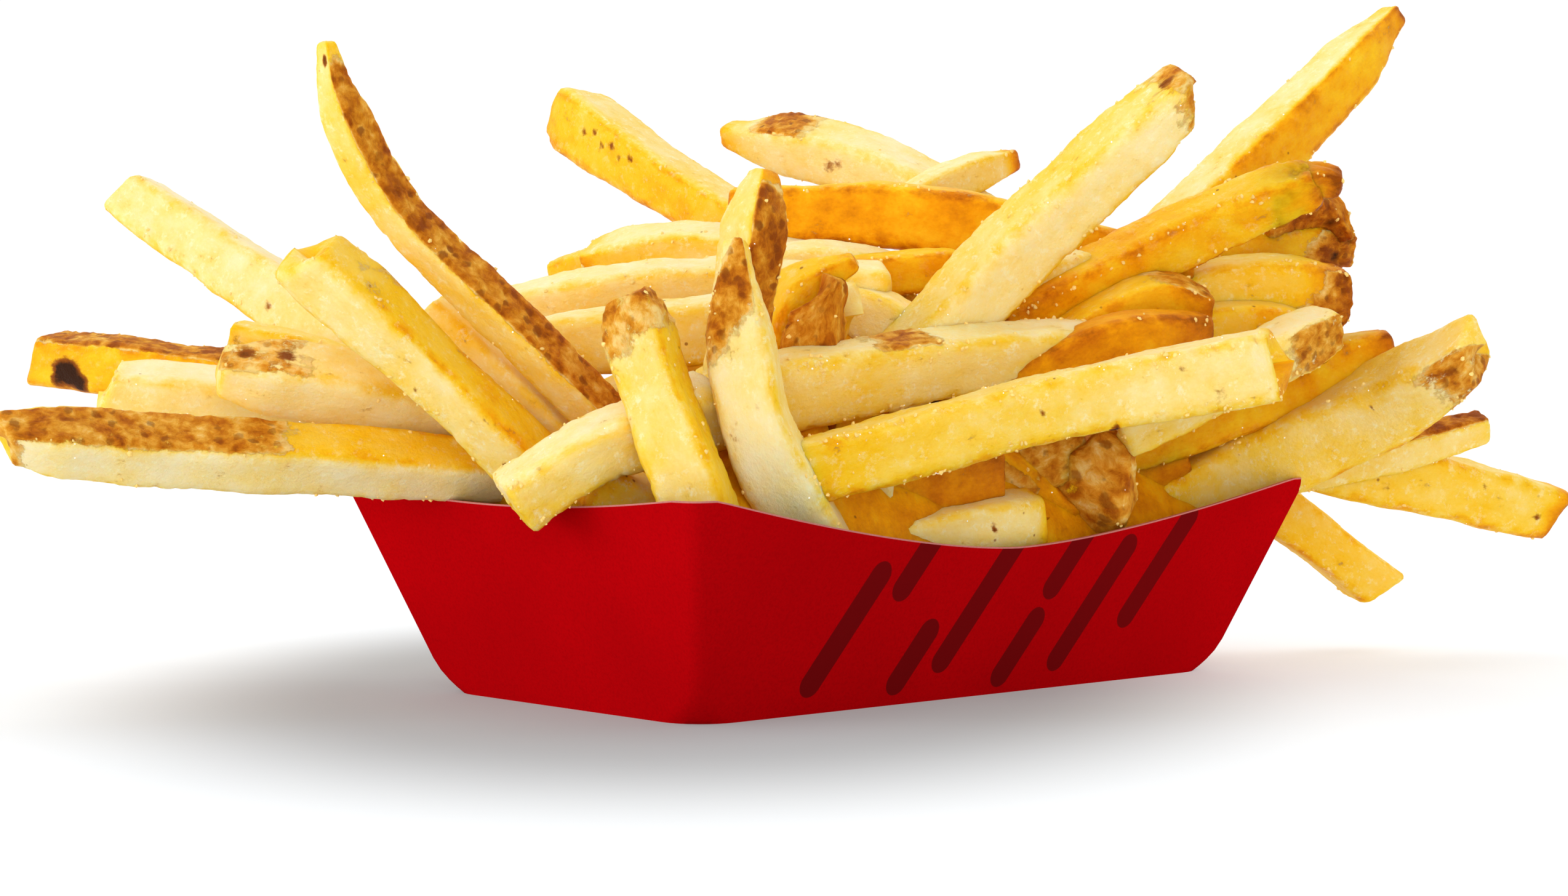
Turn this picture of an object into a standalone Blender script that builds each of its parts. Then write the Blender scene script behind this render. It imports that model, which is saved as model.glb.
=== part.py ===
"""French fries heaped in an open paperboard carton.

The carton is a folded tray: a flat base and four flared walls, whose rims dip
between the corners. The fries are one solid out to their uneven outline: a
mound that fills the carton, and the sticks that rise out of it.

Metres, +Z up, origin at the middle of the base's underside. X runs along the
carton's length.
"""
import math
import random

import bmesh
import bpy
from mathutils import Matrix, Vector

MM = 0.001

# Carton
BASE_LENGTH = 109 * MM
BASE_WIDTH = 58 * MM
WALL_HEIGHT = 31 * MM
END_FLARE = 10.4 * MM        # how far an end wall leans out, bottom to top
SIDE_FLARE = 11.8 * MM       # the same for a long side wall
BOARD = 0.6 * MM
CREASE_RADIUS = 2 * MM       # in plan, along the upper part of each corner
FOOT_RADIUS = 7 * MM         # in plan, where a corner meets the table
FOOT_HEIGHT = 5 * MM         # the corner sharpens over this height
SIDE_DIP = 8.6 * MM          # depth of the long rim's sag
SIDE_SHOULDER = 60.5 * MM    # half length of the sag
END_DIP = 1.8 * MM
END_SHOULDER = 36 * MM
RIM_CURVE = 1.6              # power of the long rim's sag
SIDE_STEPS = 18
END_STEPS = 6
CORNER_STEPS = 4

# Fries
GAP = 0.35 * MM              # between the fries and the board
LEAN_SHARE = 1.1             # a leaning board's level width next to its thickness
MOUND_TOP = 55 * MM
MOUND_SHOULDER = 19 * MM     # height up to which the mound fills the carton
MOUND_SPREAD = 24 * MM       # height at which it is widest
MOUND_LEVELS = [27 * MM, 35 * MM, 43 * MM, 50 * MM, 54 * MM]
FAN_TURN = math.radians(-42)  # the heap fans out across the front corner
CUT = 9 * MM                 # common thickness of a cut potato stick
CHAMFER = 0.24               # of the thickness, on the edges of the sticks that stand out

# The sticks that lean out over the two far rims, and those that lie across the
# mound between the others: lengths in mm, angles in degrees, (least, most).
BACK = {"count": 15, "first_turn": 132, "arc": 140, "turn_play": 8, "foot_x": 34, "foot_y": 12,
        "foot_height": (26, 38), "reach": (40, 58), "rise": (2, 20), "bow": (-2, 3),
        "size": (0.8, 1.08), "roll": (0, 45), "seed": 7}
TOP = {"count": 16, "turn": 137.5, "spread_x": 38, "spread_y": 18, "middle": (4, 8),
       "crown": 53, "fall": 17, "height_play": (-1, 2), "half_length": (24, 34), "flatten": 0.8,
       "dip": (3, 9), "size": (0.8, 1.05), "roll": (0, 45), "seed": 11}

# Each main stick, in the fan frame and in millimetres: thickness, roll in
# degrees (how far its upper or right-hand side turns to the front), size of the
# tip next to the body, and a route from the tip to the foot. The fan frame's
# first axis runs to the right, its second runs away from the front corner.
MAIN_FRIES = {
    "far_left": (9.4, 4, 0.95, [(-120, 45, 78), (-88, 20, 58), (-56, -3, 37)]),
    "left_mid": (9.0, 12, 1.0, [(-125, 6, 50), (-106, -2, 48), (-70, -6, 42), (-50, -6, 38)]),
    "short_pale": (8.6, 20, 0.95, [(-108, -25, 45), (-86, -22, 42), (-52, -14, 36)]),
    "skin_end": (8.4, 38, 0.7, [(-89, -38, 48), (-70, -32, 45), (-42, -18, 37)]),
    "left_hero": (8.0, 42, 0.7, [(-113, -54, 39), (-98, -46, 37), (-68, -36, 35), (-28, -18, 31)]),
    "stub": (6.5, 10, 0.9, [(-95, 2, 53), (-76, 0, 48), (-52, -3, 40)]),
    "wide_hero": (9.0, 28, 0.9, [(-75, -50, 64), (-63, -47, 53), (-50, -44, 39), (-38, -38, 22)]),
    "curl": (6.2, 42, 0.35, [(-72, -48, 93), (-70, -46, 84), (-62, -42, 69), (-44, -38, 51),
                             (-27, -30, 33)]),
    "slim": (6.5, 20, 0.7, [(-60, -33, 57), (-47, -33, 44), (-34, -28, 31)]),
    "over_end": (7.4, 25, 0.9, [(-45, -57, 29), (-35, -56, 36), (-18, -47, 43)]),
    "skin_cap": (8.6, 15, 0.75, [(-30, -55, 58), (-27, -57, 47), (-21, -60, 31), (-18, -54, 18)]),
    "pale_hero": (9.6, 8, 0.6, [(-16, -50, 66), (-15, -52, 51), (-12, -53, 38), (-3, -42, 21)]),
    "tall_behind": (8.0, 48, 0.45, [(-12, -40, 76), (-14, -42, 64), (-18, -40, 36)]),
    "back_left_top": (9.6, 25, 0.8, [(-47, 62, 94), (-31, 45, 82), (-4, 20, 64)]),
    "back_mid_top": (10.0, 35, 0.35, [(-19, 60, 90), (6, 45, 83), (36, 24, 62)]),
    "gold_bar": (10.0, 5, 0.9, [(-17, 22, 74), (14, 12, 72), (56, 4, 62)]),
    "big_diagonal": (9.8, 30, 0.8, [(50, -22, 89), (26, -15, 72), (4, -20, 43)]),
    "small_tip": (6.6, 20, 0.6, [(30, 40, 84), (16, 30, 78), (-4, 20, 66)]),
    "far_tall": (9.6, 25, 0.45, [(95, 42, 109), (82, 34, 95), (65, 26, 79), (38, 14, 54)]),
    "gold_diagonal": (8.6, 30, 0.7, [(72, -8, 77), (55, -3, 70), (32, -5, 58), (14, -12, 48)]),
    "flaky_end": (8.6, 15, 0.9, [(81, 26, 69), (62, 15, 66), (34, 4, 54)]),
    "brown_end": (9.0, 10, 0.8, [(78, 12, 61), (58, 5, 61), (30, -2, 48)]),
    "curl_brown": (7.6, 20, 0.7, [(56, -6, 57), (46, -8, 58), (28, -12, 48)]),
    "stub_gold": (7.6, 10, 0.9, [(54, -14, 53), (40, -20, 52), (22, -22, 44)]),
    "bar_a": (9.4, 18, 0.9, [(38, -14, 51), (14, -27, 49), (-20, -42, 43)]),
    "bar_b": (9.2, 5, 1.0, [(62, -31, 49), (30, -38, 43), (-10, -50, 33)]),
    "behind_b": (7.6, 28, 0.8, [(75, -4, 55), (60, -14, 48), (34, -22, 34)]),
    "orange": (8.6, 10, 0.7, [(89, 10, 52), (68, 2, 44), (40, -8, 33)]),
    "right_hero": (10.0, 15, 0.9, [(96, -12, 51), (85, 4, 42), (61, 6, 33), (46, 2, 26)]),
    "thin_skin": (5.4, 30, 0.9, [(108, 26, 39), (89, 20, 34), (58, 12, 27)]),
    "far_right": (10.4, 8, 0.9, [(122, 44, 24), (97, 34, 30), (62, 18, 38)]),
    "hanging": (9.6, 0, 1.0, [(94, 50, 11), (79, 43, 22), (42, 30, 50)]),
    "back_pair_a": (8.2, 25, 0.8, [(-41, 30, 66), (-23, 20, 68), (4, 10, 62)]),
    "back_pair_b": (6.0, 10, 0.9, [(-47, 38, 64), (-30, 26, 67), (-6, 14, 62)]),
    "pinkish": (7.2, 20, 0.9, [(-54, -2, 57), (-28, -6, 61), (6, -8, 60)]),
    "yellow_mid": (9.0, 10, 0.9, [(-50, -18, 51), (-30, -21, 53), (0, -22, 56)]),
    "brown_tip": (8.2, 30, 0.5, [(1, -30, 64), (-7, -27, 58), (-10, -22, 44)]),
    "skin_chunk": (8.4, 10, 0.9, [(-4, -32, 59), (-5, -31, 52), (-6, -28, 42)]),
    "strip": (6.8, 20, 0.9, [(12, 6, 62), (-4, 3, 65), (-22, 0, 62)]),
    "gold_back": (7.0, 10, 0.9, [(18, 2, 64), (2, -2, 62), (-14, -8, 56)]),
    "cream_back": (8.8, 15, 0.8, [(-1, -8, 59), (8, -13, 54), (22, -18, 44)]),
    "beige": (8.4, 15, 0.9, [(38, -2, 63), (26, -6, 59), (8, -12, 50)]),
    "rim_short": (8.4, 15, 0.9, [(29, -17, 26), (16, -26, 25), (-4, -38, 20)]),
    "skin_face": (9.4, -5, 0.8, [(40, -12, 39), (36, -12, 31), (33, -8, 16)]),
    "inner_left": (8.0, 10, 1.0, [(22, -20, 33), (4, -30, 30), (-14, -42, 26)]),
    "inner_skin": (7.6, 10, 1.0, [(36, -8, 36), (22, -14, 32), (6, -20, 28)]),
    "inner_right": (8.6, 10, 1.0, [(62, 6, 34), (46, 0, 28), (30, -6, 22)]),
    "inner_end": (8.0, 10, 1.0, [(-36, -50, 33), (-26, -44, 28), (-10, -34, 22)]),
}


def clear_scene():
    for old in list(bpy.data.objects):
        bpy.data.objects.remove(old, do_unlink=True)


def make_collection(name):
    collection = bpy.data.collections.new(name)
    bpy.context.scene.collection.children.link(collection)
    return collection


def make_material(name, colour, roughness):
    material = bpy.data.materials.new(name)
    material.use_nodes = True
    shader = material.node_tree.nodes["Principled BSDF"]
    shader.inputs["Base Color"].default_value = (*colour, 1.0)
    shader.inputs["Roughness"].default_value = roughness
    shader.inputs["Metallic"].default_value = 0.0
    return material


def object_from(bm, name, collection, material=None):
    mesh = bpy.data.meshes.new(name)
    bm.to_mesh(mesh)
    bm.free()
    if material:
        mesh.materials.append(material)
    obj = bpy.data.objects.new(name, mesh)
    collection.objects.link(obj)
    return obj


def mark_cutter(obj):
    obj.hide_render = True
    obj.display_type = "WIRE"


# ---------------------------------------------------------------- carton

def corner_radius(height):
    """Plan radius of a corner: soft at the foot, sharp above it."""
    rise = min(height / FOOT_HEIGHT, 1.0)
    return CREASE_RADIUS + (FOOT_RADIUS - CREASE_RADIUS) * (1.0 - rise) ** 2


def tray_outline(height, grow=0.0):
    """Points round the wall at one height, in plan, from the +X -Y corner."""
    lean = height / WALL_HEIGHT
    half_x = BASE_LENGTH / 2 + END_FLARE * lean + grow
    half_y = BASE_WIDTH / 2 + SIDE_FLARE * lean + grow
    radius = max(corner_radius(height) + grow, 0.3 * MM)
    corners = [(1, -1), (1, 1), (-1, 1), (-1, -1)]
    steps = [END_STEPS, SIDE_STEPS, END_STEPS, SIDE_STEPS]
    arcs = []
    for index, (sx, sy) in enumerate(corners):
        middle = Vector((sx * (half_x - radius), sy * (half_y - radius)))
        turns = [math.radians(90 * (index - 1 + k / CORNER_STEPS)) for k in range(CORNER_STEPS + 1)]
        arcs.append([middle + radius * Vector((math.cos(turn), math.sin(turn))) for turn in turns])
    points = []
    for index, arc in enumerate(arcs):
        points += arc
        following = arcs[(index + 1) % 4][0]
        count = steps[index]
        points += [arc[-1].lerp(following, k / count) for k in range(1, count)]
    return points


def rim_height(point):
    """Height of the cut rim above a point on the wall's top outline."""
    half_y = BASE_WIDTH / 2 + SIDE_FLARE
    if abs(point.y) > half_y - CREASE_RADIUS:
        reach = min(abs(point.x) / SIDE_SHOULDER, 1.0)
        return WALL_HEIGHT - SIDE_DIP * (1.0 - reach ** RIM_CURVE)
    reach = min(abs(point.y) / END_SHOULDER, 1.0)
    return WALL_HEIGHT - END_DIP * (1.0 - reach ** 2)


def tray_rings(levels, grow=0.0, lift=0.0):
    """Rings of 3-D points up the wall; the last one follows the cut rim."""
    rings = [[Vector((p.x, p.y, z)) for p in tray_outline(z, grow)] for z in levels]
    low = tray_outline(levels[-1], grow)
    high = tray_outline(WALL_HEIGHT, grow)
    bottom = levels[-1]
    rim = []
    for a, b in zip(low, high):
        top = rim_height(b) + lift
        share = (top - bottom) / (WALL_HEIGHT - bottom)
        flat = a.lerp(b, share)
        rim.append(Vector((flat.x, flat.y, top)))
    return rings + [rim]


def loft(bm, rings, close_bottom=False, close_top=False):
    """Faces between rings of points that run anticlockwise seen from above."""
    rows = [[bm.verts.new(p) for p in ring] for ring in rings]
    count = len(rows[0])
    for low, high in zip(rows, rows[1:]):
        for k in range(count):
            n = (k + 1) % count
            bm.faces.new((low[k], low[n], high[n], high[k]))
    if close_bottom:
        bm.faces.new(list(reversed(rows[0])))
    if close_top:
        bm.faces.new(rows[-1])
    return rows


def build_carton(collection, material):
    bm = bmesh.new()
    levels = [0.0, 0.3 * FOOT_HEIGHT, 0.65 * FOOT_HEIGHT, FOOT_HEIGHT]
    loft(bm, tray_rings(levels), close_bottom=True)
    carton = object_from(bm, "carton", collection, material)
    board = carton.modifiers.new("board", "SOLIDIFY")
    board.thickness = BOARD
    board.offset = -1.0
    board.use_even_offset = True
    carton.data.shade_smooth()
    carton.data.set_sharp_from_angle(angle=math.radians(30))
    return carton


def build_wall_clearance(collection):
    """A thicker copy of the walls alone, cut out of the fries."""
    bm = bmesh.new()
    levels = [0.65 * FOOT_HEIGHT, FOOT_HEIGHT]
    above_rim = GAP + BOARD / 2       # the leaning board's inner edge is its higher one
    outside = tray_rings(levels, GAP, above_rim)
    inside = tray_rings(levels, -BOARD * LEAN_SHARE - GAP, above_rim)
    rings = outside + list(reversed(inside))
    rows = loft(bm, rings)
    count = len(rows[0])
    for k in range(count):
        n = (k + 1) % count
        bm.faces.new((rows[-1][k], rows[-1][n], rows[0][n], rows[0][k]))
    bmesh.ops.recalc_face_normals(bm, faces=bm.faces)
    cutter = object_from(bm, "wall_clearance", collection)
    mark_cutter(cutter)
    return cutter


# ---------------------------------------------------------------- fries

def from_fan(point):
    """A place in the fan frame, in millimetres, as a place in the carton's frame."""
    return Matrix.Rotation(FAN_TURN, 3, "Z") @ (Vector(point) * MM)


def smooth_route(points, count):
    """Catmull-Rom through the route's points, read at even steps."""
    ends = [points[0] * 2 - points[1]] + points + [points[-1] * 2 - points[-2]]
    spans = len(points) - 1
    result = []
    for k in range(count):
        at = k / (count - 1) * spans
        span = min(int(at), spans - 1)
        t = at - span
        a, b, c, d = ends[span:span + 4]
        result.append(0.5 * (2 * b + (c - a) * t + (2 * a - 5 * b + 4 * c - d) * t ** 2
                             + (3 * b - a - 3 * c + d) * t ** 3))
    return result


def square_section(thickness, chamfer):
    """Corners of a square, each cut back by a chamfer where one is given."""
    half = thickness / 2
    inset = half - chamfer * thickness
    if chamfer == 0:
        return [(half, -half), (half, half), (-half, half), (-half, -half)]
    return [(half, -inset), (half, inset), (inset, half), (-inset, half),
            (-half, inset), (-half, -inset), (-inset, -half), (inset, -half)]


def stick_rings(route, thickness, roll, tip_size, chamfer, front):
    """Sections of one stick, square to its route, from the tip to the foot."""
    rightwards = Vector((0, 0, 1)).cross(front)
    chord = route[-1] - route[0]
    handed = 1 if chord.cross(front).dot(Vector((0, 0, 1)) + 0.3 * rightwards) > 0 else -1
    rings = []
    for index, place in enumerate(route):
        along = (route[min(index + 1, len(route) - 1)] - route[max(index - 1, 0)]).normalized()
        face = (front - along * front.dot(along)).normalized()
        side = along.cross(face) * handed
        turned_face = face * math.cos(roll) - side * math.sin(roll)
        turned_side = side * math.cos(roll) + face * math.sin(roll)
        size = tip_size if index == 0 else 1.0
        ring = [place + (turned_face * a + turned_side * b) * size
                for a, b in square_section(thickness, chamfer)]
        if handed < 0:
            ring.reverse()
        rings.append(ring)
    return rings


def build_stick(name, route, thickness, roll, tip_size, chamfer, steps, front, collection):
    bm = bmesh.new()
    smoothed = smooth_route(route, steps)
    loft(bm, stick_rings(smoothed, thickness, roll, tip_size, chamfer, front),
         close_bottom=True, close_top=True)
    stick = object_from(bm, name, collection)
    mark_cutter(stick)
    return stick


def build_main_sticks(collection):
    front = from_fan((0, -1, 0)).normalized()
    for name, (thickness, roll, tip_size, route) in MAIN_FRIES.items():
        places = [from_fan(point) for point in route]
        steps = 2 * len(route) - 1
        build_stick("main_" + name, places, thickness * MM, math.radians(roll), tip_size,
                    CHAMFER, steps, front, collection)


def mound_share(height):
    """Width of the mound next to the carton's inside, at one height."""
    if height <= MOUND_SHOULDER:
        return 1.0
    rise = (height - MOUND_SHOULDER) / (MOUND_TOP - MOUND_SHOULDER)
    return (1.0 - rise ** 1.7) ** 0.6


def build_mound(collection, material):
    bm = bmesh.new()
    rings = []
    for z in [BOARD + GAP, FOOT_HEIGHT, MOUND_SHOULDER] + MOUND_LEVELS:
        share = mound_share(z)
        ring = tray_outline(min(z, MOUND_SPREAD), -BOARD * LEAN_SHARE - GAP)
        rings.append([Vector((p.x * share, p.y * share, z)) for p in ring[::2]])
    loft(bm, rings, close_bottom=True, close_top=True)
    return object_from(bm, "fries_heap", collection, material)


def dealt(rng, limits):
    return rng.uniform(*limits)


def build_back_sticks(collection):
    """Sticks that lean out over the two far rims, in a fan from one end to the other."""
    rng = random.Random(BACK["seed"])
    up = Vector((0, 0, 1))
    for index in range(BACK["count"]):
        share = (index + 0.5) / BACK["count"]
        play = rng.uniform(-BACK["turn_play"], BACK["turn_play"])
        turn = math.radians(BACK["first_turn"] - BACK["arc"] * share + play)
        out = Vector((math.cos(turn), math.sin(turn), 0))
        foot = Vector((out.x * BACK["foot_x"], out.y * BACK["foot_y"],
                       dealt(rng, BACK["foot_height"]))) * MM
        reach = dealt(rng, BACK["reach"]) * MM
        tip = foot + out * reach + up * dealt(rng, BACK["rise"]) * MM
        middle = foot.lerp(tip, 0.5) + up * dealt(rng, BACK["bow"]) * MM
        thickness = CUT * dealt(rng, BACK["size"])
        roll = math.radians(dealt(rng, BACK["roll"]))
        build_stick("back_%02d" % index, [tip, middle, foot], thickness, roll,
                    rng.choice((0.7, 0.9, 1.0)), CHAMFER, 3, up, collection)


def build_top_sticks(collection):
    """Sticks that lie across the mound, between the ones that stand out."""
    rng = random.Random(TOP["seed"])
    up = Vector((0, 0, 1))
    for index in range(TOP["count"]):
        turn = math.radians(TOP["turn"]) * index
        spread = math.sqrt((index + 0.5) / TOP["count"])
        x = spread * math.cos(turn) * TOP["spread_x"] + TOP["middle"][0]
        y = spread * math.sin(turn) * TOP["spread_y"] + TOP["middle"][1]
        height = TOP["crown"] - TOP["fall"] * spread ** 2 + dealt(rng, TOP["height_play"])
        middle = Vector((x, y, height)) * MM
        heading = rng.uniform(0, math.pi)
        half = dealt(rng, TOP["half_length"]) * MM
        along = Vector((math.cos(heading), math.sin(heading) * TOP["flatten"], 0)) * half
        dip = up * dealt(rng, TOP["dip"]) * MM
        route = [middle + along - dip, middle, middle - along - dip]
        thickness = CUT * dealt(rng, TOP["size"])
        roll = math.radians(dealt(rng, TOP["roll"]))
        build_stick("top_%02d" % index, route, thickness, roll, 0.9, 0, 3, up, collection)


def keep_outer_shell(mesh):
    """Drop any pocket that the joined sticks close off inside the heap."""
    bm = bmesh.new()
    bm.from_mesh(mesh)
    seen = set()
    shells = []
    for start in bm.verts:
        if start in seen:
            continue
        shell = []
        waiting = [start]
        seen.add(start)
        while waiting:
            vert = waiting.pop()
            shell.append(vert)
            for edge in vert.link_edges:
                other = edge.other_vert(vert)
                if other not in seen:
                    seen.add(other)
                    waiting.append(other)
        shells.append(shell)
    shells.sort(key=len)
    for shell in shells[:-1]:
        bmesh.ops.delete(bm, geom=shell, context="VERTS")
    bm.to_mesh(mesh)
    bm.free()


def build_fries(collection, cutters, material):
    sticks = make_collection("fry_sticks")
    cutters.children.link(sticks)
    bpy.context.scene.collection.children.unlink(sticks)
    build_main_sticks(sticks)
    build_back_sticks(sticks)
    build_top_sticks(sticks)
    clearance = build_wall_clearance(cutters)
    heap = build_mound(collection, material)
    join = heap.modifiers.new("sticks", "BOOLEAN")
    join.operation = "UNION"
    join.operand_type = "COLLECTION"
    join.collection = sticks
    cut = heap.modifiers.new("walls", "BOOLEAN")
    cut.operation = "DIFFERENCE"
    cut.object = clearance
    bpy.context.view_layer.update()
    graph = bpy.context.evaluated_depsgraph_get()
    joined = bpy.data.meshes.new_from_object(heap.evaluated_get(graph))
    heap.modifiers.clear()
    heap.data = joined
    keep_outer_shell(joined)
    joined.shade_smooth()
    joined.set_sharp_from_angle(angle=math.radians(35))
    return heap


clear_scene()
parts = make_collection("french_fries_in_carton")
helpers = make_collection("cutters")
red_board = make_material("red_board", (0.47, 0.001, 0.003), 0.55)
fried_potato = make_material("fried_potato", (0.87, 0.63, 0.22), 0.5)
build_carton(parts, red_board)
build_fries(parts, helpers, fried_potato)
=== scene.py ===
import math
import random

import bmesh
import bpy
import numpy as np
from mathutils import Matrix, Vector


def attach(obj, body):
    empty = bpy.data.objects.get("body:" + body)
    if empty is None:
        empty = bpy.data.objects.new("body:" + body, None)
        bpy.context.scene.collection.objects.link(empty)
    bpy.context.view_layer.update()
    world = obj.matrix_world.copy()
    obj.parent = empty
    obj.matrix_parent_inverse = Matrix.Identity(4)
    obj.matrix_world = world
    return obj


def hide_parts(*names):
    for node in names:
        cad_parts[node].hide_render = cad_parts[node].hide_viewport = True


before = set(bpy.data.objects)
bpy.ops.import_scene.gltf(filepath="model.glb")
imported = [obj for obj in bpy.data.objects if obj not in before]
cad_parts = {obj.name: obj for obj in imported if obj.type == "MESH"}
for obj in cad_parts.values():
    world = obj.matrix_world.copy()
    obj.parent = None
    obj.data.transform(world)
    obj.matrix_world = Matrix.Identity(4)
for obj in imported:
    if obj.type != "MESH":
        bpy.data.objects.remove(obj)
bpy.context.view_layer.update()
mm = 0.001

cameraLook = {"place": (-0.2956, -0.3117, 0.047), "yaw": 47.71, "pitch": -1.46, "lens": 63.58}


def makeCamera(look):
    yaw, pitch = math.radians(look["yaw"]), math.radians(look["pitch"])
    aim = Vector((math.cos(pitch) * math.cos(yaw), math.cos(pitch) * math.sin(yaw), math.sin(pitch)))
    data = bpy.data.cameras.new("camera")
    data.lens = look["lens"]
    data.sensor_width = 36
    data.clip_start = 0.01
    camera = bpy.data.objects.new("camera", data)
    camera.location = look["place"]
    camera.rotation_euler = aim.to_track_quat("-Z", "Y").to_euler()
    bpy.context.scene.collection.objects.link(camera)
    bpy.context.scene.camera = camera


makeCamera(cameraLook)
print("camera set")


def pick(sockets, key):
    usable = [s for s in sockets if s.enabled]
    if isinstance(key, int):
        return usable[key]
    return next(s for s in usable if key in (s.name, s.identifier))


def addNode(tree, kind, feeds=None, **settings):
    made = tree.nodes.new(kind)
    for name, value in settings.items():
        setattr(made, name, value)
    for key, value in (feeds or {}).items():
        socket = pick(made.inputs, key)
        if isinstance(value, bpy.types.NodeSocket):
            tree.links.new(value, socket)
        else:
            socket.default_value = value
    return made


def calc(tree, operation, *values, clamp=False):
    return addNode(tree, "ShaderNodeMath", dict(enumerate(values)),
                   operation=operation, use_clamp=clamp).outputs[0]


def vectorCalc(tree, operation, *values):
    made = addNode(tree, "ShaderNodeVectorMath", {}, operation=operation)
    for index, value in enumerate(values):
        socket = made.inputs["Scale"] if operation == "SCALE" and index == 1 else made.inputs[index]
        if isinstance(value, bpy.types.NodeSocket):
            tree.links.new(value, socket)
        else:
            socket.default_value = value
    return made.outputs["Value" if operation in ("DOT_PRODUCT", "LENGTH") else "Vector"]


def remap(tree, value, low, high, toLow=0.0, toHigh=1.0, smooth=False):
    return addNode(tree, "ShaderNodeMapRange",
                   {"Value": value, "From Min": low, "From Max": high, "To Min": toLow, "To Max": toHigh},
                   interpolation_type="SMOOTHSTEP" if smooth else "LINEAR").outputs["Result"]


def noiseAt(tree, vector, scale, detail=2.0, roughness=0.5, distortion=0.0):
    return addNode(tree, "ShaderNodeTexNoise", {"Vector": vector, "Scale": scale, "Detail": detail,
                                                "Roughness": roughness, "Distortion": distortion}).outputs[0]


def geometryTree(name, inputs):
    tree = bpy.data.node_groups.new(name, "GeometryNodeTree")
    tree.is_modifier = True
    tree.interface.new_socket("Geometry", in_out="INPUT", socket_type="NodeSocketGeometry")
    for label, (kind, value) in inputs.items():
        socket = tree.interface.new_socket(label, in_out="INPUT", socket_type="NodeSocket" + kind)
        if value is not None:
            socket.default_value = value
    tree.interface.new_socket("Geometry", in_out="OUTPUT", socket_type="NodeSocketGeometry")
    entry = tree.nodes.new("NodeGroupInput").outputs
    return tree, entry


def closeTree(tree, geometry, material):
    whole = addNode(tree, "GeometryNodeRealizeInstances", {"Geometry": geometry})
    painted = addNode(tree, "GeometryNodeSetMaterial", {"Geometry": whole.outputs[0], "Material": material})
    leave = tree.nodes.new("NodeGroupOutput")
    tree.links.new(painted.outputs[0], leave.inputs[0])


def readField(tree, name, kind="FLOAT"):
    return addNode(tree, "GeometryNodeInputNamedAttribute", {"Name": name}, data_type=kind).outputs["Attribute"]


def storeField(tree, geometry, name, value, kind="FLOAT"):
    return addNode(tree, "GeometryNodeStoreNamedAttribute", {"Geometry": geometry, "Name": name, "Value": value},
                   data_type=kind, domain="POINT").outputs[0]


def runTree(obj, tree, values):
    # runs a tree on an object and keeps the result as its plain mesh
    step = obj.modifiers.new(tree.name, "NODES")
    step.node_group = tree
    for item in tree.interface.items_tree:
        if item.in_out == "INPUT" and item.name in values:
            step[item.identifier] = values[item.name]
    obj.update_tag()
    bpy.context.view_layer.update()
    graph = bpy.context.evaluated_depsgraph_get()
    made = bpy.data.meshes.new_from_object(obj.evaluated_get(graph))
    obj.modifiers.remove(step)
    old = obj.data
    obj.data = made
    made.name = obj.name
    bpy.data.meshes.remove(old)
    return obj


def meshObject(name, verts, edges=(), faces=(), material=None):
    mesh = bpy.data.meshes.new(name)
    mesh.from_pydata(verts, edges, faces)
    if material:
        mesh.materials.append(material)
    obj = bpy.data.objects.new(name, mesh)
    bpy.context.scene.collection.objects.link(obj)
    return obj


def setField(mesh, name, values, kind="FLOAT"):
    field = mesh.attributes.get(name) or mesh.attributes.new(name, kind, "POINT")
    key = "value" if kind == "FLOAT" else "vector"
    field.data.foreach_set(key, np.asarray(values, dtype=np.float32).ravel())


def getField(mesh, name, width=1):
    data = mesh.attributes[name].data
    flat = np.empty(len(data) * width, dtype=np.float32)
    data.foreach_get("value" if width == 1 else "vector", flat)
    return flat.reshape(-1, width) if width > 1 else flat


def smoothStep(low, high, values):
    t = np.clip((values - low) / (high - low), 0, 1)
    return t * t * (3 - 2 * t)


def newMaterial(name):
    material = bpy.data.materials.new(name)
    material.use_nodes = True
    return material, material.node_tree, material.node_tree.nodes["Principled BSDF"]


def colourRamp(tree, value, stops):
    ramp = addNode(tree, "ShaderNodeValToRGB", {"Fac": value})
    elements = ramp.color_ramp.elements
    while len(elements) < len(stops):
        elements.new(0.5)
    for element, (place, colour) in zip(elements, stops):
        element.position = place
        element.color = (*fromScreen(colour), 1)
    return ramp.outputs["Color"]


def fromScreen(colour):
    # 0-255 screen values to linear light
    shares = [c / 255 for c in colour]
    return tuple(s / 12.92 if s <= 0.04045 else ((s + 0.055) / 1.055) ** 2.4 for s in shares)


def mixColour(tree, factor, first, second, blend="MIX"):
    made = addNode(tree, "ShaderNodeMix", {}, data_type="RGBA", blend_type=blend)
    for key, value in (("Factor", factor), ("A", first), ("B", second)):
        socket = pick(made.inputs, key)
        if isinstance(value, bpy.types.NodeSocket):
            tree.links.new(value, socket)
        else:
            socket.default_value = value if key == "Factor" else (*fromScreen(value), 1)
    return pick(made.outputs, "Result")


potatoLook = {
    "tones": [(0.0, (254, 237, 191)), (0.2, (254, 224, 144)), (0.38, (253, 208, 78)),
              (0.52, (250, 196, 26)), (0.68, (240, 162, 2)), (0.84, (206, 118, 2)), (1.0, (146, 72, 2))],
    "skins": [(0.14, (150, 72, 10)), (0.34, (192, 108, 14)), (0.5, (218, 142, 30)), (0.66, (236, 174, 64)),
              (0.86, (248, 212, 130))],
    "freckle": (136, 64, 12),
    "dry": (255, 243, 200),
    "mark": (52, 22, 8),
    "scorch": (150, 78, 10),
    "speck": (150, 84, 14),
}


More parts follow.
